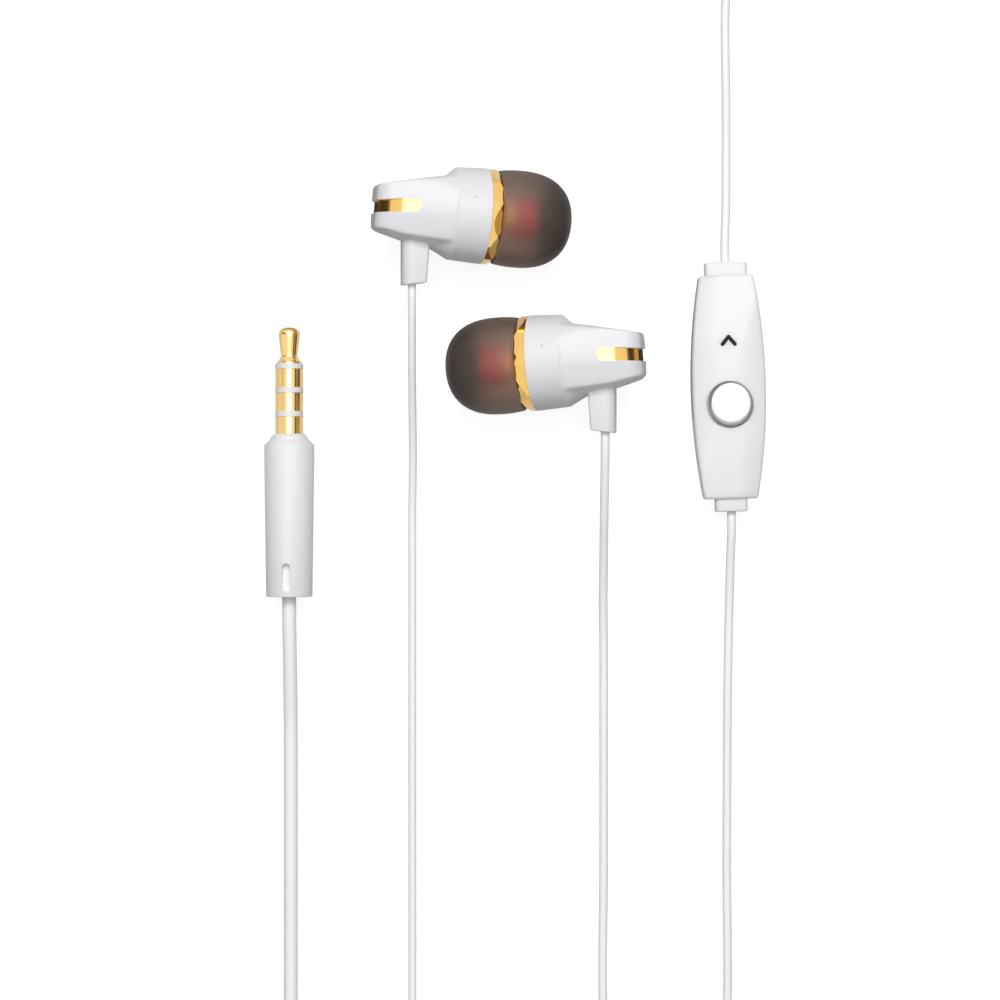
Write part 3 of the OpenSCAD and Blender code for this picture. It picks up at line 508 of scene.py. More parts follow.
def bar_plan():
    """Half of the gold bar's outline seen from the cord: a slope that rounds off towards the end."""
    back = -HOUSING_END + 0.35
    start = back + BAR_ROUND * sin(radians(BAR_TURN))
    points = []
    for i in range(41):
        u = back + (-6 - back) * (i / 40) ** 1.5
        run = max(0.0, start - u)
        drop = BAR_ROUND - (BAR_ROUND ** 2 - run ** 2) ** 0.5
        points.append((u, TAIL_HALF + SIDE_SPREAD * (u + HOUSING_END) - BAR_DEPTH - drop))
    return points


def accent():
    """The gold bar in the slot, a little below the skin all round."""
    half = bar_plan()
    outline = half + [(u, -w) for u, w in reversed(half)]
    bm = bmesh.new()
    face = bm.faces.new([bm.verts.new((u, -6, w)) for u, w in outline])
    grown = bmesh.ops.extrude_face_region(bm, geom=[face])
    tops = [v for v in grown["geom"] if isinstance(v, bmesh.types.BMVert)]
    bmesh.ops.translate(bm, vec=(0, 12, 0), verts=tops)
    bmesh.ops.recalc_face_normals(bm, faces=bm.faces)
    return combined(bm, slot_cutter(-0.004), "INTERSECT")


both(accent(), "gold bar", gold, "base", 30, "accent")

STEM_END, STEM_SLANT, CORD_BORE_R = -9.17, 7, 0.66


def lengthwise(edge, reach):
    """Whether an edge runs along Y by more than a reach."""
    return abs(edge.verts[0].co.y - edge.verts[1].co.y) > reach


def stem():
    """The moulded stem with its slanted end and the bore that the cord leaves by."""
    bm = block((-1.33, -10.15, -1.65), (2.08, -3, 1.65))
    for v in bm.verts:
        if v.co.y < -9 and v.co.x > 0:
            v.co.x -= 0.5
    soften(bm, 1.3, 7, 20, lambda e: lengthwise(e, 5) and e.verts[0].co.x < 0)
    soften(bm, 0.4, 5, 20, lambda e: lengthwise(e, 5) and e.verts[0].co.x > 1.5)
    cut(bm, (0, STEM_END, 0), (sin(radians(STEM_SLANT)), -cos(radians(STEM_SLANT)), 0))
    soften(bm, 0.18, 3, 30, lambda e: all(v.co.y < -8.5 for v in e.verts))
    bore = Matrix.Translation((0, -9.1, 0)) @ Matrix.Rotation(radians(90), 4, "X")
    bm = combined(bm, rod(CORD_BORE_R, 4, bore), "DIFFERENCE")
    place = Matrix.Translation((-STEM_BACK, 0, 0)) @ Matrix.Rotation(radians(YAW), 4, "Z")
    bmesh.ops.transform(bm, matrix=place, verts=bm.verts)
    return bm


both(stem(), "stem", glossy_white, "base", 35, "stem")

# ------------------------------------------------------------------ trim ring and ear tip

RING_LEN, RING_IN, RING_FLAT, RING_BEVEL = 1.5, 4.72, 5.46, 0.5
FACETS, FACET_FIRST, FACET_SLOPE, FACET_LEAN = 10, 10.3, 22.5, 3.0


def trim_ring():
    """A gold ring whose bevelled front is cut into flats."""
    bm = spun([(0, RING_IN), (0, DRUM_R - 0.04), (0.04, DRUM_R), (RING_LEN - RING_BEVEL, DRUM_R),
               (RING_LEN, RING_FLAT + 0.05), (RING_LEN, RING_IN), (0, RING_IN)], 240)
    step = 360 / FACETS
    for k in range(FACETS):
        around = Matrix.Rotation(-radians(FACET_FIRST + (k + 0.5) * step), 3, "X")
        lean = Matrix.Rotation(radians(FACET_SLOPE), 3, "Y")
        lean = lean @ Matrix.Rotation(radians(FACET_LEAN), 3, "X")
        cutter = block((-5, -5, 0), (5, 5, 5))
        place = around.to_4x4() @ Matrix.Translation((RING_LEN, 0, RING_FLAT)) @ lean.to_4x4()
        bmesh.ops.transform(cutter, matrix=place, verts=cutter.verts)
        bm = combined(bm, cutter, "DIFFERENCE")
    return bm


both(trim_ring(), "trim ring", gold, "base", 8, "ring")

TIP_R, RIM_R, RIM_AT, WIDE_AT, NOSE_AT, DOME_POWER = 6.03, 5.78, 1.54, 4.2, 11.05, 2.45
CORE_R, CORE_AT, CORE_END, SOUND_R, NOSE_WALL, SKIRT_WALL = 2.75, 3.7, 6.7, 1.6, 1.7, 0.5


def dome_radius(x, widest=TIP_R, nose=NOSE_AT):
    """Radius of the tip's skin at a distance along the bud."""
    if x < WIDE_AT:
        return widest - (TIP_R - RIM_R) * ((WIDE_AT - x) / (WIDE_AT - RIM_AT)) ** 2
    return widest * (1 - ((x - WIDE_AT) / (nose - WIDE_AT)) ** DOME_POWER) ** (1 / DOME_POWER)


def dome_reach(r):
    """How far along the bud the nose has a radius."""
    return WIDE_AT + (NOSE_AT - WIDE_AT) * (1 - (r / TIP_R) ** DOME_POWER) ** (1 / DOME_POWER)


def tip_dome():
    """The mushroom-shaped skin with its thick nose, through which the sound bore runs."""
    skin_at = RIM_AT + 0.15
    rise = [skin_at + (WIDE_AT - skin_at) * i / 8 for i in range(9)]
    outside = [(x, dome_radius(x)) for x in rise]
    far = acos((SOUND_R + 0.25) / TIP_R)
    nose = [(dome_reach(TIP_R * cos(far * i / 44)), TIP_R * cos(far * i / 44)) for i in range(1, 45)]
    mouth = [(dome_reach(SOUND_R) - 0.05, SOUND_R + 0.08), (dome_reach(SOUND_R) - 0.25, SOUND_R)]
    inner_nose = NOSE_AT - NOSE_WALL
    start = inner_nose - 0.25
    bush = [(CORE_END, SOUND_R), (CORE_END, CORE_R), (start - 0.4, CORE_R), (start - 0.1, CORE_R + 0.1)]
    back = [start - (start - skin_at) * i / 30 for i in range(31)]
    inside = [(x, max(dome_radius(x, TIP_R - SKIRT_WALL, inner_nose), CORE_R + 0.1)) for x in back]
    rim = dome_radius(skin_at)
    lip = [(RIM_AT + 0.04, rim - 0.1), (RIM_AT, rim - 0.25), (RIM_AT + 0.04, rim - SKIRT_WALL + 0.1)]
    profile = outside + nose + mouth + bush + inside + list(reversed(lip)) + [outside[0]]
    return spun(profile, 128)


both(tip_dome(), "ear tip", smoky_silicone, "tip", 40, "tip_dome")


def tip_core():
    """The red sleeve that grips the nozzle."""
    bore, end = 2.2, CORE_END - 0.05
    return spun([
        (CORE_AT, bore), (CORE_AT, CORE_R - 0.15), (CORE_AT + 0.15, CORE_R), (end - 0.3, CORE_R),
        (end, CORE_R - 0.3), (end, bore), (CORE_AT, bore)], 96)


both(tip_core(), "ear tip core", red_silicone, "tip", 40, "tip_core")

# ------------------------------------------------------------------ remote

REMOTE_AT, REMOTE_TURN = (27.55, -10.9, 0.0), 1.4
REMOTE_LEN, REMOTE_W, REMOTE_END_W, REMOTE_H, REMOTE_END_H = 28.0, 9.2, 6.7, 5.8, 4.6
REMOTE_CROWN = 9.0
BUTTON_R, BUTTON_GAP, BUTTON_DOWN, BUTTON_SHIFT = 2.72, 0.2, 2.25, (0.11, 0.09)
BUTTON_TOP, BUTTON_UNDER, BUTTON_HOLE_FLOOR = 6.4, 4.18, 4.4
MIC_UP, MIC_LEG, MIC_HALF, MIC_TURN = 6.2, 1.2, 0.24, 40
MIC_FLOOR, MIC_TOP, FELT_UNDER, FELT_TOP = 4.9, 7, 4.92, 5.52
COLLAR_IN, COLLAR_OUT, COLLAR_UNDER, COLLAR_TOP, CORD_LEVEL = 1.6, 1.6, 1.1, 4.1, 2.6
CORNER_CUT, CORNER_TURN, CORNER_X = 22.0, 24.0, 1.1
remote_place = Matrix.Translation(REMOTE_AT) @ Matrix.Rotation(radians(REMOTE_TURN), 4, "Z")


def remote_form():
    """The long lens-shaped body: a block whose length is stepped finely enough to curve."""
    bm = block((-0.5, -REMOTE_LEN / 2, 0), (0.5, REMOTE_LEN / 2, 1))
    lengths = [e for e in bm.edges if lengthwise(e, 1)]
    bmesh.ops.subdivide_edges(bm, edges=lengths, cuts=55, use_grid_fill=True)
    across = [e for e in bm.edges if abs(e.verts[0].co.x - e.verts[1].co.x) > 0.5]
    bmesh.ops.subdivide_edges(bm, edges=across, cuts=19, use_grid_fill=True)
    for v in bm.verts:
        t = (v.co.y / (REMOTE_LEN / 2)) ** 2
        width = REMOTE_W + (REMOTE_END_W - REMOTE_W) * t
        v.co.x *= width
        top = REMOTE_H + (REMOTE_END_H - REMOTE_H) * t
        v.co.z *= min(top, REMOTE_H - v.co.x ** 2 / (2 * REMOTE_CROWN))
    for s in (0, 180):
        turn = Matrix.Rotation(radians(s), 3, "Z")
        normal = turn @ Matrix.Rotation(radians(-CORNER_TURN), 3, "Z") @ Vector(
            (sin(radians(CORNER_CUT)), 0, cos(radians(CORNER_CUT))))
        cut(bm, turn @ Vector((CORNER_X, -REMOTE_LEN / 2, REMOTE_END_H)), normal)
    return bm


def remote_shells():
    """Both shells as one skin, with the button's hole and the microphone's slot."""
    form = remote_form()
    soften(form, 0.35, 4, 50)
    hole = Matrix.Translation((0, -BUTTON_DOWN, BUTTON_HOLE_FLOOR + 2))
    form = combined(form, rod(BUTTON_R + BUTTON_GAP, 4, hole, 96), "DIFFERENCE")
    slot = joined(mic_leg(MIC_TURN), mic_leg(-MIC_TURN))
    form = combined(form, slot, "DIFFERENCE")
    obj = keep(form, "Remote shell", remote_white, "base", 30, remote_place)
    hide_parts("remote_front", "remote_back")


def mic_leg(turn):
    """One leg of the microphone's slot, with round ends."""
    bm = block((-MIC_HALF, -MIC_LEG, MIC_FLOOR), (MIC_HALF, 0, MIC_TOP))
    for y in (0, -MIC_LEG):
        end = Matrix.Translation((0, y, (MIC_FLOOR + MIC_TOP) / 2))
        bm = combined(bm, rod(MIC_HALF, MIC_TOP - MIC_FLOOR, end, 24), "UNION")
    place = Matrix.Translation((0, MIC_UP, 0)) @ Matrix.Rotation(radians(turn), 4, "Z")
    bmesh.ops.transform(bm, matrix=place, verts=bm.verts)
    return bm


remote_shells()


def mic_felt():
    """The dark felt that fills the microphone's slot almost to the top."""
    bm = combined(mic_leg(MIC_TURN), mic_leg(-MIC_TURN), "UNION")
    bm = combined(bm, block((-3, MIC_UP - 3, FELT_UNDER), (3, MIC_UP + 1, FELT_TOP)), "INTERSECT")
    keep(bm, "Remote microphone felt", black_felt, "base", 30, remote_place)


mic_felt()


def remote_button():
    """The metal cap with its flange, set a little off the middle of its hole."""
    top, under = BUTTON_TOP, BUTTON_UNDER
    bm = spun([(under - 0.45, 0), (under - 0.45, BUTTON_R + 0.45), (under, BUTTON_R + 0.45),
               (under, BUTTON_R), (top - 0.32, BUTTON_R), (top - 0.2, BUTTON_R - 0.04),
               (top - 0.08, BUTTON_R - 0.13), (top - 0.02, BUTTON_R - 0.28), (top, BUTTON_R - 0.6),
               (top + 0.01, 0)], 96)
    turn = Matrix.Rotation(radians(-90), 4, "Y")
    bmesh.ops.transform(bm, matrix=turn, verts=bm.verts)
    across, up = BUTTON_SHIFT
    place = remote_place @ Matrix.Translation((across, up - BUTTON_DOWN, 0))
    obj = keep(bm, "Remote button", button_metal, "button", 50, place)
    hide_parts("remote_button")


remote_button()


def remote_collar(width, upper):
    """The stub at one end, through which the cord enters."""
    end = REMOTE_LEN / 2 + COLLAR_OUT
    bm = block((-width / 2, REMOTE_LEN / 2 - COLLAR_IN, COLLAR_UNDER), (width / 2, end, COLLAR_TOP))
    soften(bm, 0.5, 4, 20, lambda e: lengthwise(e, 2))
    soften(bm, 0.2, 3, 40)
    bore = Matrix.Translation((0, end, CORD_LEVEL)) @ Matrix.Rotation(radians(90), 4, "X")
    bm = combined(bm, rod(CORD_BORE_R, 4, bore), "DIFFERENCE")
    turn = Matrix.Rotation(0 if upper else pi, 4, "Z")
    word = "up" if upper else "down"
    obj = keep(bm, "Remote collar " + word, remote_white, "base", 35, remote_place @ turn)
    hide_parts("remote_collar_" + word)


remote_collar(5.3, True)
remote_collar(4.0, False)

# ------------------------------------------------------------------ plug

PLUG_X, PLUG_BOOT_Y, BOOT_R, BOOT_END_R, BOOT_LEN = -27.45, -37.15, 3.15, 2.9, 19.7
PLUG_R, SHOULDER_R, LINER_R = 1.75, 2.35, 1.1
HOLLOW_R, HOLLOW_FROM, BOOT_BORE_R = 1.9, 3, 1.02
SHOULDER_TOP = BOOT_LEN + 0.7
INSULATOR_LEN, CONTACT_LEN, SLEEVE_LEN, PLUG_TIP_LEN = 0.66, 2.33, 2.15, 4.55
RELIEF_FROM, RELIEF_TO, RELIEF_HALF, RELIEF_TURN = 1.3, 3.7, 0.525, 5
RELIEF_FLOOR, RELIEF_OUT = 2.05, 4
plug_place = Matrix.Translation((PLUG_X, PLUG_BOOT_Y, BOOT_R)) @ Matrix.Rotation(radians(90), 4, "Z")


def plug_piece(name, mat, node, profile):
    """Keeps one turned piece of the plug."""
    obj = keep(spun(profile, 128), name, mat, "base", 40, plug_place)
    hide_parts(node)


def banded(lo, hi, edge):
    """Profile of a band of the plug between two distances, with fine rounded edges."""
    return [(lo, LINER_R), (lo, PLUG_R - edge), (lo + edge, PLUG_R), (hi - edge, PLUG_R),
            (hi, PLUG_R - edge), (hi, LINER_R), (lo, LINER_R)]


def plug():
    """The contacts and insulators from the boot outwards, the tip, the shoulder and the boot."""
    bands = [("plug_sleeve", SLEEVE_LEN, contact_gold),
             ("plug_insulator_3", INSULATOR_LEN, insulator_white),
             ("plug_ring_2", CONTACT_LEN, contact_gold),
             ("plug_insulator_2", INSULATOR_LEN, insulator_white),
             ("plug_ring_1", CONTACT_LEN, contact_gold),
             ("plug_insulator_1", INSULATOR_LEN, insulator_white)]
    at = SHOULDER_TOP
    for node, length, mat in bands:
        words = node.replace("_", " ").capitalize()
        plug_piece(words, mat, node, banded(at, at + length, 0.03 if mat is contact_gold else 0.05))
        at += length
    t = at + PLUG_TIP_LEN
    tip = [(at, 0), (at, 1.56), (at + 0.2, 1.56), (at + 0.34, 1.4), (at + 0.62, 1.2), (at + 0.85, 1.06),
           (at + 1.0, 1.05), (at + 1.2, 1.07)]
    tip += [(at + 1.2 + 2.3 * i / 8, 1.07 + 0.27 * i / 8) for i in range(1, 9)]
    tip += [(t - 0.85, 1.345), (t - 0.65, 1.32), (t - 0.45, 1.22), (t - 0.25, 1.03), (t - 0.12, 0.82),
            (t - 0.04, 0.58), (t, 0.3), (t, 0)]
    plug_piece("Plug tip", contact_gold, "plug_tip", tip)
    plug_piece("Plug shoulder", satin_white, "plug_shoulder", [
        (BOOT_LEN - 0.5, 0), (BOOT_LEN - 0.5, SHOULDER_R), (BOOT_LEN + 0.12, SHOULDER_R),
        (BOOT_LEN + 0.3, SHOULDER_R - 0.07), (SHOULDER_TOP - 0.12, SHOULDER_R - 0.3),
        (SHOULDER_TOP, SHOULDER_R - 0.48), (SHOULDER_TOP, 0)])
    plug_boot()


def plug_boot():
    """The long tapered boot, with the relief slots near the cord."""
    bm = spun([(0, BOOT_BORE_R), (0, BOOT_END_R - 0.15), (0.04, BOOT_END_R - 0.05), (0.15, BOOT_END_R),
               (BOOT_LEN - 0.8, BOOT_R), (BOOT_LEN - 0.65, BOOT_R - 0.06), (BOOT_LEN - 0.12, BOOT_R - 0.62),
               (BOOT_LEN, BOOT_R - 0.72), (BOOT_LEN, HOLLOW_R), (HOLLOW_FROM, HOLLOW_R),
               (HOLLOW_FROM, BOOT_BORE_R), (0, BOOT_BORE_R)], 160)
    for s in (0, 180):
        slot = block((RELIEF_FROM, -RELIEF_HALF, RELIEF_FLOOR), (RELIEF_TO, RELIEF_HALF, RELIEF_OUT))
        for x in (RELIEF_FROM, RELIEF_TO):
            end = Matrix.Translation((x, 0, (RELIEF_FLOOR + RELIEF_OUT) / 2))
            slot = combined(slot, rod(RELIEF_HALF, RELIEF_OUT - RELIEF_FLOOR, end), "UNION")
        turn = Matrix.Rotation(radians(s - RELIEF_TURN), 4, "X")
        bmesh.ops.transform(slot, matrix=turn, verts=slot.verts)
        bm = combined(bm, slot, "DIFFERENCE")
    obj = keep(bm, "Plug boot", satin_white, "base", 35, plug_place)
    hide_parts("plug_boot")


plug()

# ------------------------------------------------------------------ splitter

SPLITTER_AT, SPLITTER_R, SPLITTER_LEN = (12.0, -110.4, 2.3), 2.3, 12.0


def splitter():
    """A small barrel with three grooves at its trunk end."""
    r = SPLITTER_R
    profile = [(0, 0), (0, r - 0.6), (0.1, r - 0.48)]
    for k in (1, 2, 3):
        a = 0.9 * k
        outer = r - 0.45 + 0.08 * k
        profile += [(a - 0.03, outer), (a + 0.03, r - 0.75), (a + 0.32, r - 0.75), (a + 0.38, outer)]
    profile += [(4.6, r - 0.1), (5.5, r), (SPLITTER_LEN - 0.5, r), (SPLITTER_LEN - 0.2, r - 0.1),
                (SPLITTER_LEN, r - 0.45), (SPLITTER_LEN, 0)]
    obj = keep(spun(profile, 96), "Splitter", satin_white, "base", 40, Matrix.Translation(SPLITTER_AT))
    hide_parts("splitter")
    return obj


splitter_piece = splitter()

# ------------------------------------------------------------------ cords

EAR_D, REMOTE_D, TRUNK_D = 1.0, 1.1, 1.75
STEM_Z = 8.936
CORD_SEAT, BRANCH_GAP = 2, 1.5
LOOP_STEPS, COIL_LAYERS, COIL_GAP = 48, 4, 0.45
CORD_SIDES = 16


def smooth_route(points, spacing):
    """Points evenly spread on a smooth curve through the given ones."""
    knots = [Vector(p) for p in points]
    ends = [2 * knots[0] - knots[1]] + knots + [2 * knots[-1] - knots[-2]]
    fine = []
    for a, b, c, d in zip(ends, ends[1:], ends[2:], ends[3:]):
        t1, t2, t3 = (b - a).length ** 0.5, (c - b).length ** 0.5, (d - c).length ** 0.5
        m1 = (c - b + t2 * ((b - a) / t1 - (c - a) / (t1 + t2)))
        m2 = (c - b + t2 * ((d - c) / t3 - (d - b) / (t2 + t3)))
        for i in range(40):
            s = i / 40
            fine.append((2 * s ** 3 - 3 * s ** 2 + 1) * b + (s ** 3 - 2 * s ** 2 + s) * m1
                        + (-2 * s ** 3 + 3 * s ** 2) * c + (s ** 3 - s ** 2) * m2)
    fine.append(knots[-1])
    total = sum((q - p).length for p, q in zip(fine, fine[1:]))
    count = max(4, round(total / spacing))
    step, out, gone, want = total / count, [fine[0]], 0.0, total / count
    for p, q in zip(fine, fine[1:]):
        reach = (q - p).length
        while gone + reach >= want - 1e-9 and len(out) < count:
            out.append(p.lerp(q, (want - gone) / reach))
            want += step
        gone += reach
    out.append(fine[-1])
    return out


def coil_route(centre, turns, mean_r, step, d):
    """Wound in and out at a steady rate, layer on layer, climbing where it turns back."""
    per_layer = turns / COIL_LAYERS

    def ease(t):
        """A smooth climb from 0 to 1."""
        c = min(max(t, 0), 1)
        return c * c * (3 - 2 * c)

    out = []
    for i in range(round(turns * LOOP_STEPS) + 1):
        turn = i / LOOP_STEPS
        q = turn / per_layer % 2
        r = mean_r + step * per_layer * (0.5 - (q if q < 1 else 2 - q))
        z = sum(ease((turn - k * per_layer) * 2 + 0.5) for k in range(1, COIL_LAYERS))
        a = pi + 2 * pi * turn
        out.append(Vector((centre[0] + r * cos(a), centre[1] + r * sin(a), d / 2 + step * z)))
    return out


def tube(name, route, d, mat):
    """A round cord along a route, as one closed tube."""
    curve = bpy.data.curves.new(name, "CURVE")
    curve.dimensions = "3D"
    curve.bevel_depth = d / 2 * MM
    curve.bevel_resolution = CORD_SIDES // 4 - 1
    curve.use_fill_caps = True
    line = curve.splines.new("POLY")
    line.points.add(len(route) - 1)
    for point, place in zip(line.points, route):
        point.co = (*(place * MM), 1)
    obj = bpy.data.objects.new(name, curve)
    bpy.context.scene.collection.objects.link(obj)
    bm = baked(obj)
    bmesh.ops.scale(bm, vec=(1 / MM, 1 / MM, 1 / MM), verts=bm.verts)
    bmesh.ops.remove_doubles(bm, verts=bm.verts, dist=1e-4)
    return keep(bm, name, mat, "base", 60)


def remote_point(s):
    """Where a cord ends inside the remote: 1 for its upper end, -1 for its lower one."""
    d = s * (REMOTE_LEN / 2 + COLLAR_OUT - CORD_SEAT)
    a = radians(REMOTE_TURN)
    return Vector((REMOTE_AT[0] - d * sin(a), REMOTE_AT[1] + d * cos(a), CORD_LEVEL))


def lay_cord(name, route, d, replaced):
    obj = tube(name, route, d, cord_white)
    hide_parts(*replaced)


left_seat = Vector((-11.95, 3.705, STEM_Z))
right_seat = Vector((11.95, -14.535, STEM_Z))
branch_entry = Vector(SPLITTER_AT) + Vector((SPLITTER_LEN - CORD_SEAT, BRANCH_GAP / 2, 0))
link_entry = Vector(SPLITTER_AT) + Vector((SPLITTER_LEN - CORD_SEAT, -BRANCH_GAP / 2, 0))
trunk_entry = Vector(SPLITTER_AT) + Vector((CORD_SEAT, 0, 0))
plug_seat = Vector((PLUG_X, PLUG_BOOT_Y + 6, BOOT_R))
ahead = Vector((-sin(radians(REMOTE_TURN)), cos(radians(REMOTE_TURN)), 0))

left_coil = coil_route((-4.85, -97.8), 9.25, 5.6, EAR_D + COIL_GAP, EAR_D)
trunk_coil = coil_route((-14.05, -119.4), 10.5, 10.5, TRUNK_D + COIL_GAP, TRUNK_D)

left_route = (
    smooth_route([left_seat, left_seat + Vector((0, -4, 0)), (-12, -8, 6.6), (-12, -14, 4), (-12, -20, 1.8),
                  (-12.1, -26, 0.7), (-12.1, -33, 0.5), (-12.1, -60, 0.5), (-12.1, -88, 0.5),
                  left_coil[0] + Vector((0, 3, 0)), left_coil[0]], 1.0)[:-1]
    + left_coil[:-1]
    + smooth_route([left_coil[-1], left_coil[-1] + Vector((2, 0, 0)), (2, -105, 3.6), (7, -105, 1.4),
                    (12, -105, 0.5), (20, -105, 0.5), (27, -104.9, 0.5), (29.6, -105.4, 0.6),
                    (31, -107.2, 0.9), (30.2, -109, 1.3), (28.4, -109.7, 1.7),
                    branch_entry + Vector((4, 0, 0)), branch_entry], 1.0))
right_route = smooth_route(
    [right_seat, right_seat + Vector((0, -4, 0)), (11.9, -26, 6.6), (11.9, -32, 4), (11.9, -38, 1.8),
     (12, -44, 0.7), (12, -51, 0.6), (12, -70, 0.6), (12, -90, 0.6), (12.6, -94, 0.6), (14.4, -97.4, 0.6),
     (17.4, -99.3, 0.6), (20.9, -99.5, 0.6), (24.2, -98.1, 0.6), (26.6, -95, 0.6), (27.4, -91, 0.6),
     (27.5, -70, 0.6), (27.6, -50, 0.6), (27.8, -38, 0.8), (27.9, -32, 1.8),
     remote_point(-1) - 4 * ahead, remote_point(-1)], 1.0)
link_route = smooth_route(
    [remote_point(1), remote_point(1) + 4 * ahead, (27.3, 12, 1.8), (27.4, 18, 0.7), (27.4, 25, 0.6),
     (27.4, 38.2, 0.6), (28, 41.3, 0.6), (29.6, 43.4, 0.6), (32.2, 44.4, 0.6), (45, 44.5, 0.6),
     (57, 44.4, 0.6), (60.8, 43.4, 0.6), (63, 41, 0.6), (63.8, 37.4, 0.6), (63.9, 10, 0.6),
     (63.9, -25, 0.6), (63.9, -60, 0.6), (63.8, -93, 0.6), (62.8, -98, 0.6), (60.4, -103, 0.6),
     (56, -107, 0.6), (50, -109.9, 0.6), (43, -111.1, 0.7), (37, -111.2, 1), (32, -111.2, 1.7),
     link_entry + Vector((5, 0, 0)), link_entry], 1.0)
trunk_route = (
    smooth_route([plug_seat, plug_seat + Vector((0, -9, 0)), (-27.4, -47, 2.1), (-27.4, -53, 1.1),
                  (-27.4, -60, 0.9), (-27.4, -75, 0.9), (-27.4, -90, 0.9),
                  trunk_coil[0] + Vector((0, 4, 0)), trunk_coil[0]], 1.5)[:-1]
    + trunk_coil[:-1]
    + smooth_route([trunk_coil[-1], trunk_coil[-1] + Vector((0, 3.5, 0)), (-0.2, -113.4, 7),
                    (1.4, -111.5, 6.1), (3.8, -110.6, 5.1), (6.6, -110.4, 3.9), (9, -110.4, 3),
                    trunk_entry + Vector((-2.8, 0, 0)), trunk_entry], 1.0))

remote_pieces = [o for o in bpy.data.objects if o.name.startswith("Remote_")]
remote_pieces += [nodes[n] for n in ("remote_board", "remote_switch", "remote_mic")]

lay_cord("Left ear cord", left_route, EAR_D,
         ["left_cord", "left_coil", "left_tail"])
lay_cord("Right ear cord", right_route, REMOTE_D, ["right_cord"])
lay_cord("Link cord", link_route, REMOTE_D, ["link_cord"])
lay_cord("Trunk cord", list(reversed(trunk_route)), TRUNK_D,
         ["trunk_cord", "trunk_coil", "trunk_tail"])

# ------------------------------------------------------------------ carried-over pieces

FINISH = {
    "nozzle": satin_gold, "screen": steel, "driver_frame": steel, "magnet": dark_plating, "diaphragm": film,
    "terminals": board, "remote_board": board, "remote_switch": black_plastic, "remote_mic": steel,
}
for name, obj in nodes.items():
    for word, mat in FINISH.items():
        if name == word or name in ("left_" + word, "right_" + word):
            obj.data.materials.clear()
            obj.data.materials.append(mat)

# ------------------------------------------------------------------ floor and light

FLOOR_TONE, FLOOR_GLOW, FLOOR_MIRRORED = 0.32, 0.86, 0.55
AIM = (0, -0.03, 0)
DARK, BROWN = (0.03, 0.022, 0.018), (0.95, 0.72, 0.55)


def seen_or_mirrored(tree, mirrored=1.0):
    """1 for rays from the camera and for refracted ones, a share for mirrored ones, else 0."""
    path = tree.nodes.new("ShaderNodeLightPath")
    share = tree.nodes.new("ShaderNodeMath")
    share.operation = "MULTIPLY"
    share.inputs[1].default_value = mirrored
    tree.links.new(path.outputs["Is Glossy Ray"], share.inputs[0])
    seen = tree.nodes.new("ShaderNodeMath")
    seen.operation = "MAXIMUM"
    shown = tree.nodes.new("ShaderNodeMath")
    shown.operation = "MAXIMUM"
    tree.links.new(path.outputs["Is Camera Ray"], seen.inputs[0])
    tree.links.new(share.outputs[0], seen.inputs[1])
    tree.links.new(seen.outputs[0], shown.inputs[0])
    tree.links.new(path.outputs["Is Transmission Ray"], shown.inputs[1])
    return shown.outputs[0]


def floor_material():
    """A matt floor whose glow is seen and mirrored but gives the object no diffuse light."""
    mat = bpy.data.materials.new("Pale floor")
    mat.use_nodes = True
    tree = mat.node_tree
    shader = tree.nodes["Principled BSDF"]
    shader.inputs["Base Color"].default_value = (FLOOR_TONE, FLOOR_TONE, FLOOR_TONE, 1)
    shader.inputs["Roughness"].default_value = 0.9
    shader.inputs["Specular IOR Level"].default_value = 0.0
    glow = tree.nodes.new("ShaderNodeEmission")
    glow.inputs["Color"].default_value = (FLOOR_GLOW, FLOOR_GLOW, FLOOR_GLOW, 1)
    tree.links.new(seen_or_mirrored(tree, FLOOR_MIRRORED), glow.inputs["Strength"])
    lit_floor = tree.nodes.new("ShaderNodeAddShader")
    tree.links.new(shader.outputs[0], lit_floor.inputs[0])
    tree.links.new(glow.outputs[0], lit_floor.inputs[1])
    tree.links.new(lit_floor.outputs[0], tree.nodes["Material Output"].inputs["Surface"])
    return mat


def floor():
    """A wide square under everything."""
    bm = bmesh.new()
    bmesh.ops.create_grid(bm, x_segments=1, y_segments=1, size=1.5)
    mesh = bpy.data.meshes.new("Floor")
    bm.to_mesh(mesh)
    bm.free()
    obj = bpy.data.objects.new("Floor", mesh)
    mesh.materials.append(floor_material())
    bpy.context.scene.collection.objects.link(obj)


floor()


def lamp(name, at, size, power):
    """A rectangular softbox that faces the object."""
    data = bpy.data.lights.new(name, "AREA")
    data.shape = "RECTANGLE"
    data.size, data.size_y = size
    data.energy = power
    obj = bpy.data.objects.new(name, data)
    obj.location = at
    obj.rotation_euler = (Vector(AIM) - Vector(at)).to_track_quat("-Z", "Y").to_euler()
    bpy.context.scene.collection.objects.link(obj)


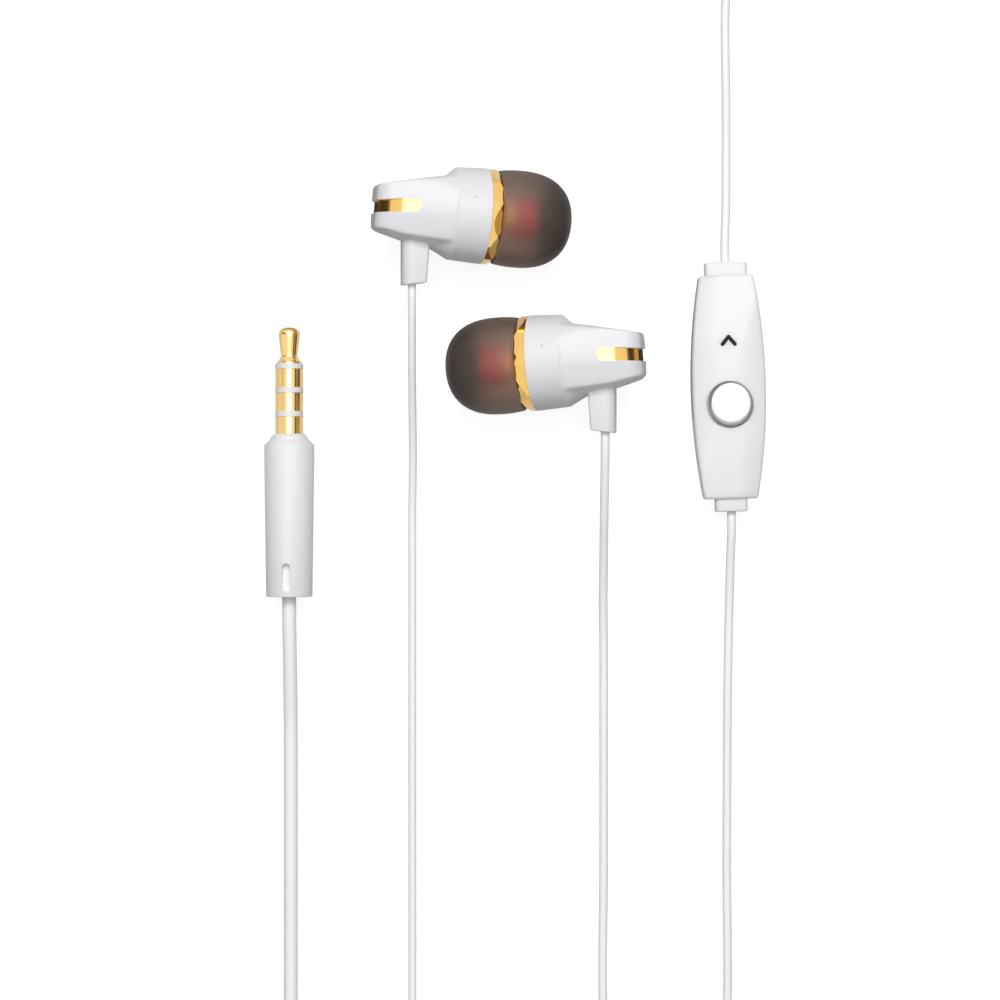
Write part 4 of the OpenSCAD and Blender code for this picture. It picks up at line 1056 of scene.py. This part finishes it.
def card(name, at, size, color, flat=False):
    """A board, upright along Y or flat on the floor, that only mirrored and refracted rays see."""
    bm = bmesh.new()
    bmesh.ops.create_grid(bm, x_segments=1, y_segments=1, size=0.5)
    bmesh.ops.scale(bm, vec=(size[0], size[1], 1), verts=bm.verts)
    place = Matrix.Translation(at)
    if not flat:
        place = place @ Matrix.Rotation(pi / 2, 4, "Z") @ Matrix.Rotation(pi / 2, 4, "X")
    bmesh.ops.transform(bm, matrix=place, verts=bm.verts)
    mesh = bpy.data.meshes.new(name)
    bm.to_mesh(mesh)
    bm.free()
    obj = bpy.data.objects.new(name, mesh)
    mesh.materials.append(material(name, color, 0.9))
    obj.visible_camera = False
    obj.visible_diffuse = False
    obj.visible_shadow = False
    bpy.context.scene.collection.objects.link(obj)


lamp("Key softbox", (0.0, 0.32, 0.68), (0.4, 0.3), 3.6)
lamp("Overhead softbox", (0.0, 0.0, 0.75), (0.5, 0.24), 1.15)
card("Left dark card", (-0.32, 0.085, 0.21), (0.15, 0.18), DARK)
card("Left brown card", (-0.32, 0.085, 0.06), (0.15, 0.12), BROWN)
card("Right dark card", (0.32, -0.1, 0.24), (0.5, 0.12), DARK)
card("Right brown card", (0.32, -0.1, 0.09), (0.5, 0.18), BROWN)
# Painted shadow: dark sheets laid flat on the floor beside the buds, seen only in mirrored and refracted
# rays, stand in for the floor's shade in the gold trim and the tips.
card("Left low card", (-0.024, 0.012, 0.0003), (0.022, 0.018), DARK, True)
card("Right low card", (0.024, -0.006, 0.0003), (0.022, 0.018), DARK, True)

world = bpy.data.worlds.new("World")
bpy.context.scene.world = world
world.use_nodes = True
sky = world.node_tree
background = sky.nodes["Background"]
background.inputs["Color"].default_value = (0.23, 0.23, 0.235, 1)
clear = sky.nodes.new("ShaderNodeBackground")
clear.inputs["Color"].default_value = (1, 1, 1, 1)
choose = sky.nodes.new("ShaderNodeMixShader")
sky.links.new(seen_or_mirrored(sky), choose.inputs["Fac"])
sky.links.new(background.outputs[0], choose.inputs[1])
sky.links.new(clear.outputs[0], choose.inputs[2])
sky.links.new(choose.outputs[0], sky.nodes["World Output"].inputs["Surface"])

bpy.context.scene.view_settings.view_transform = "Standard"
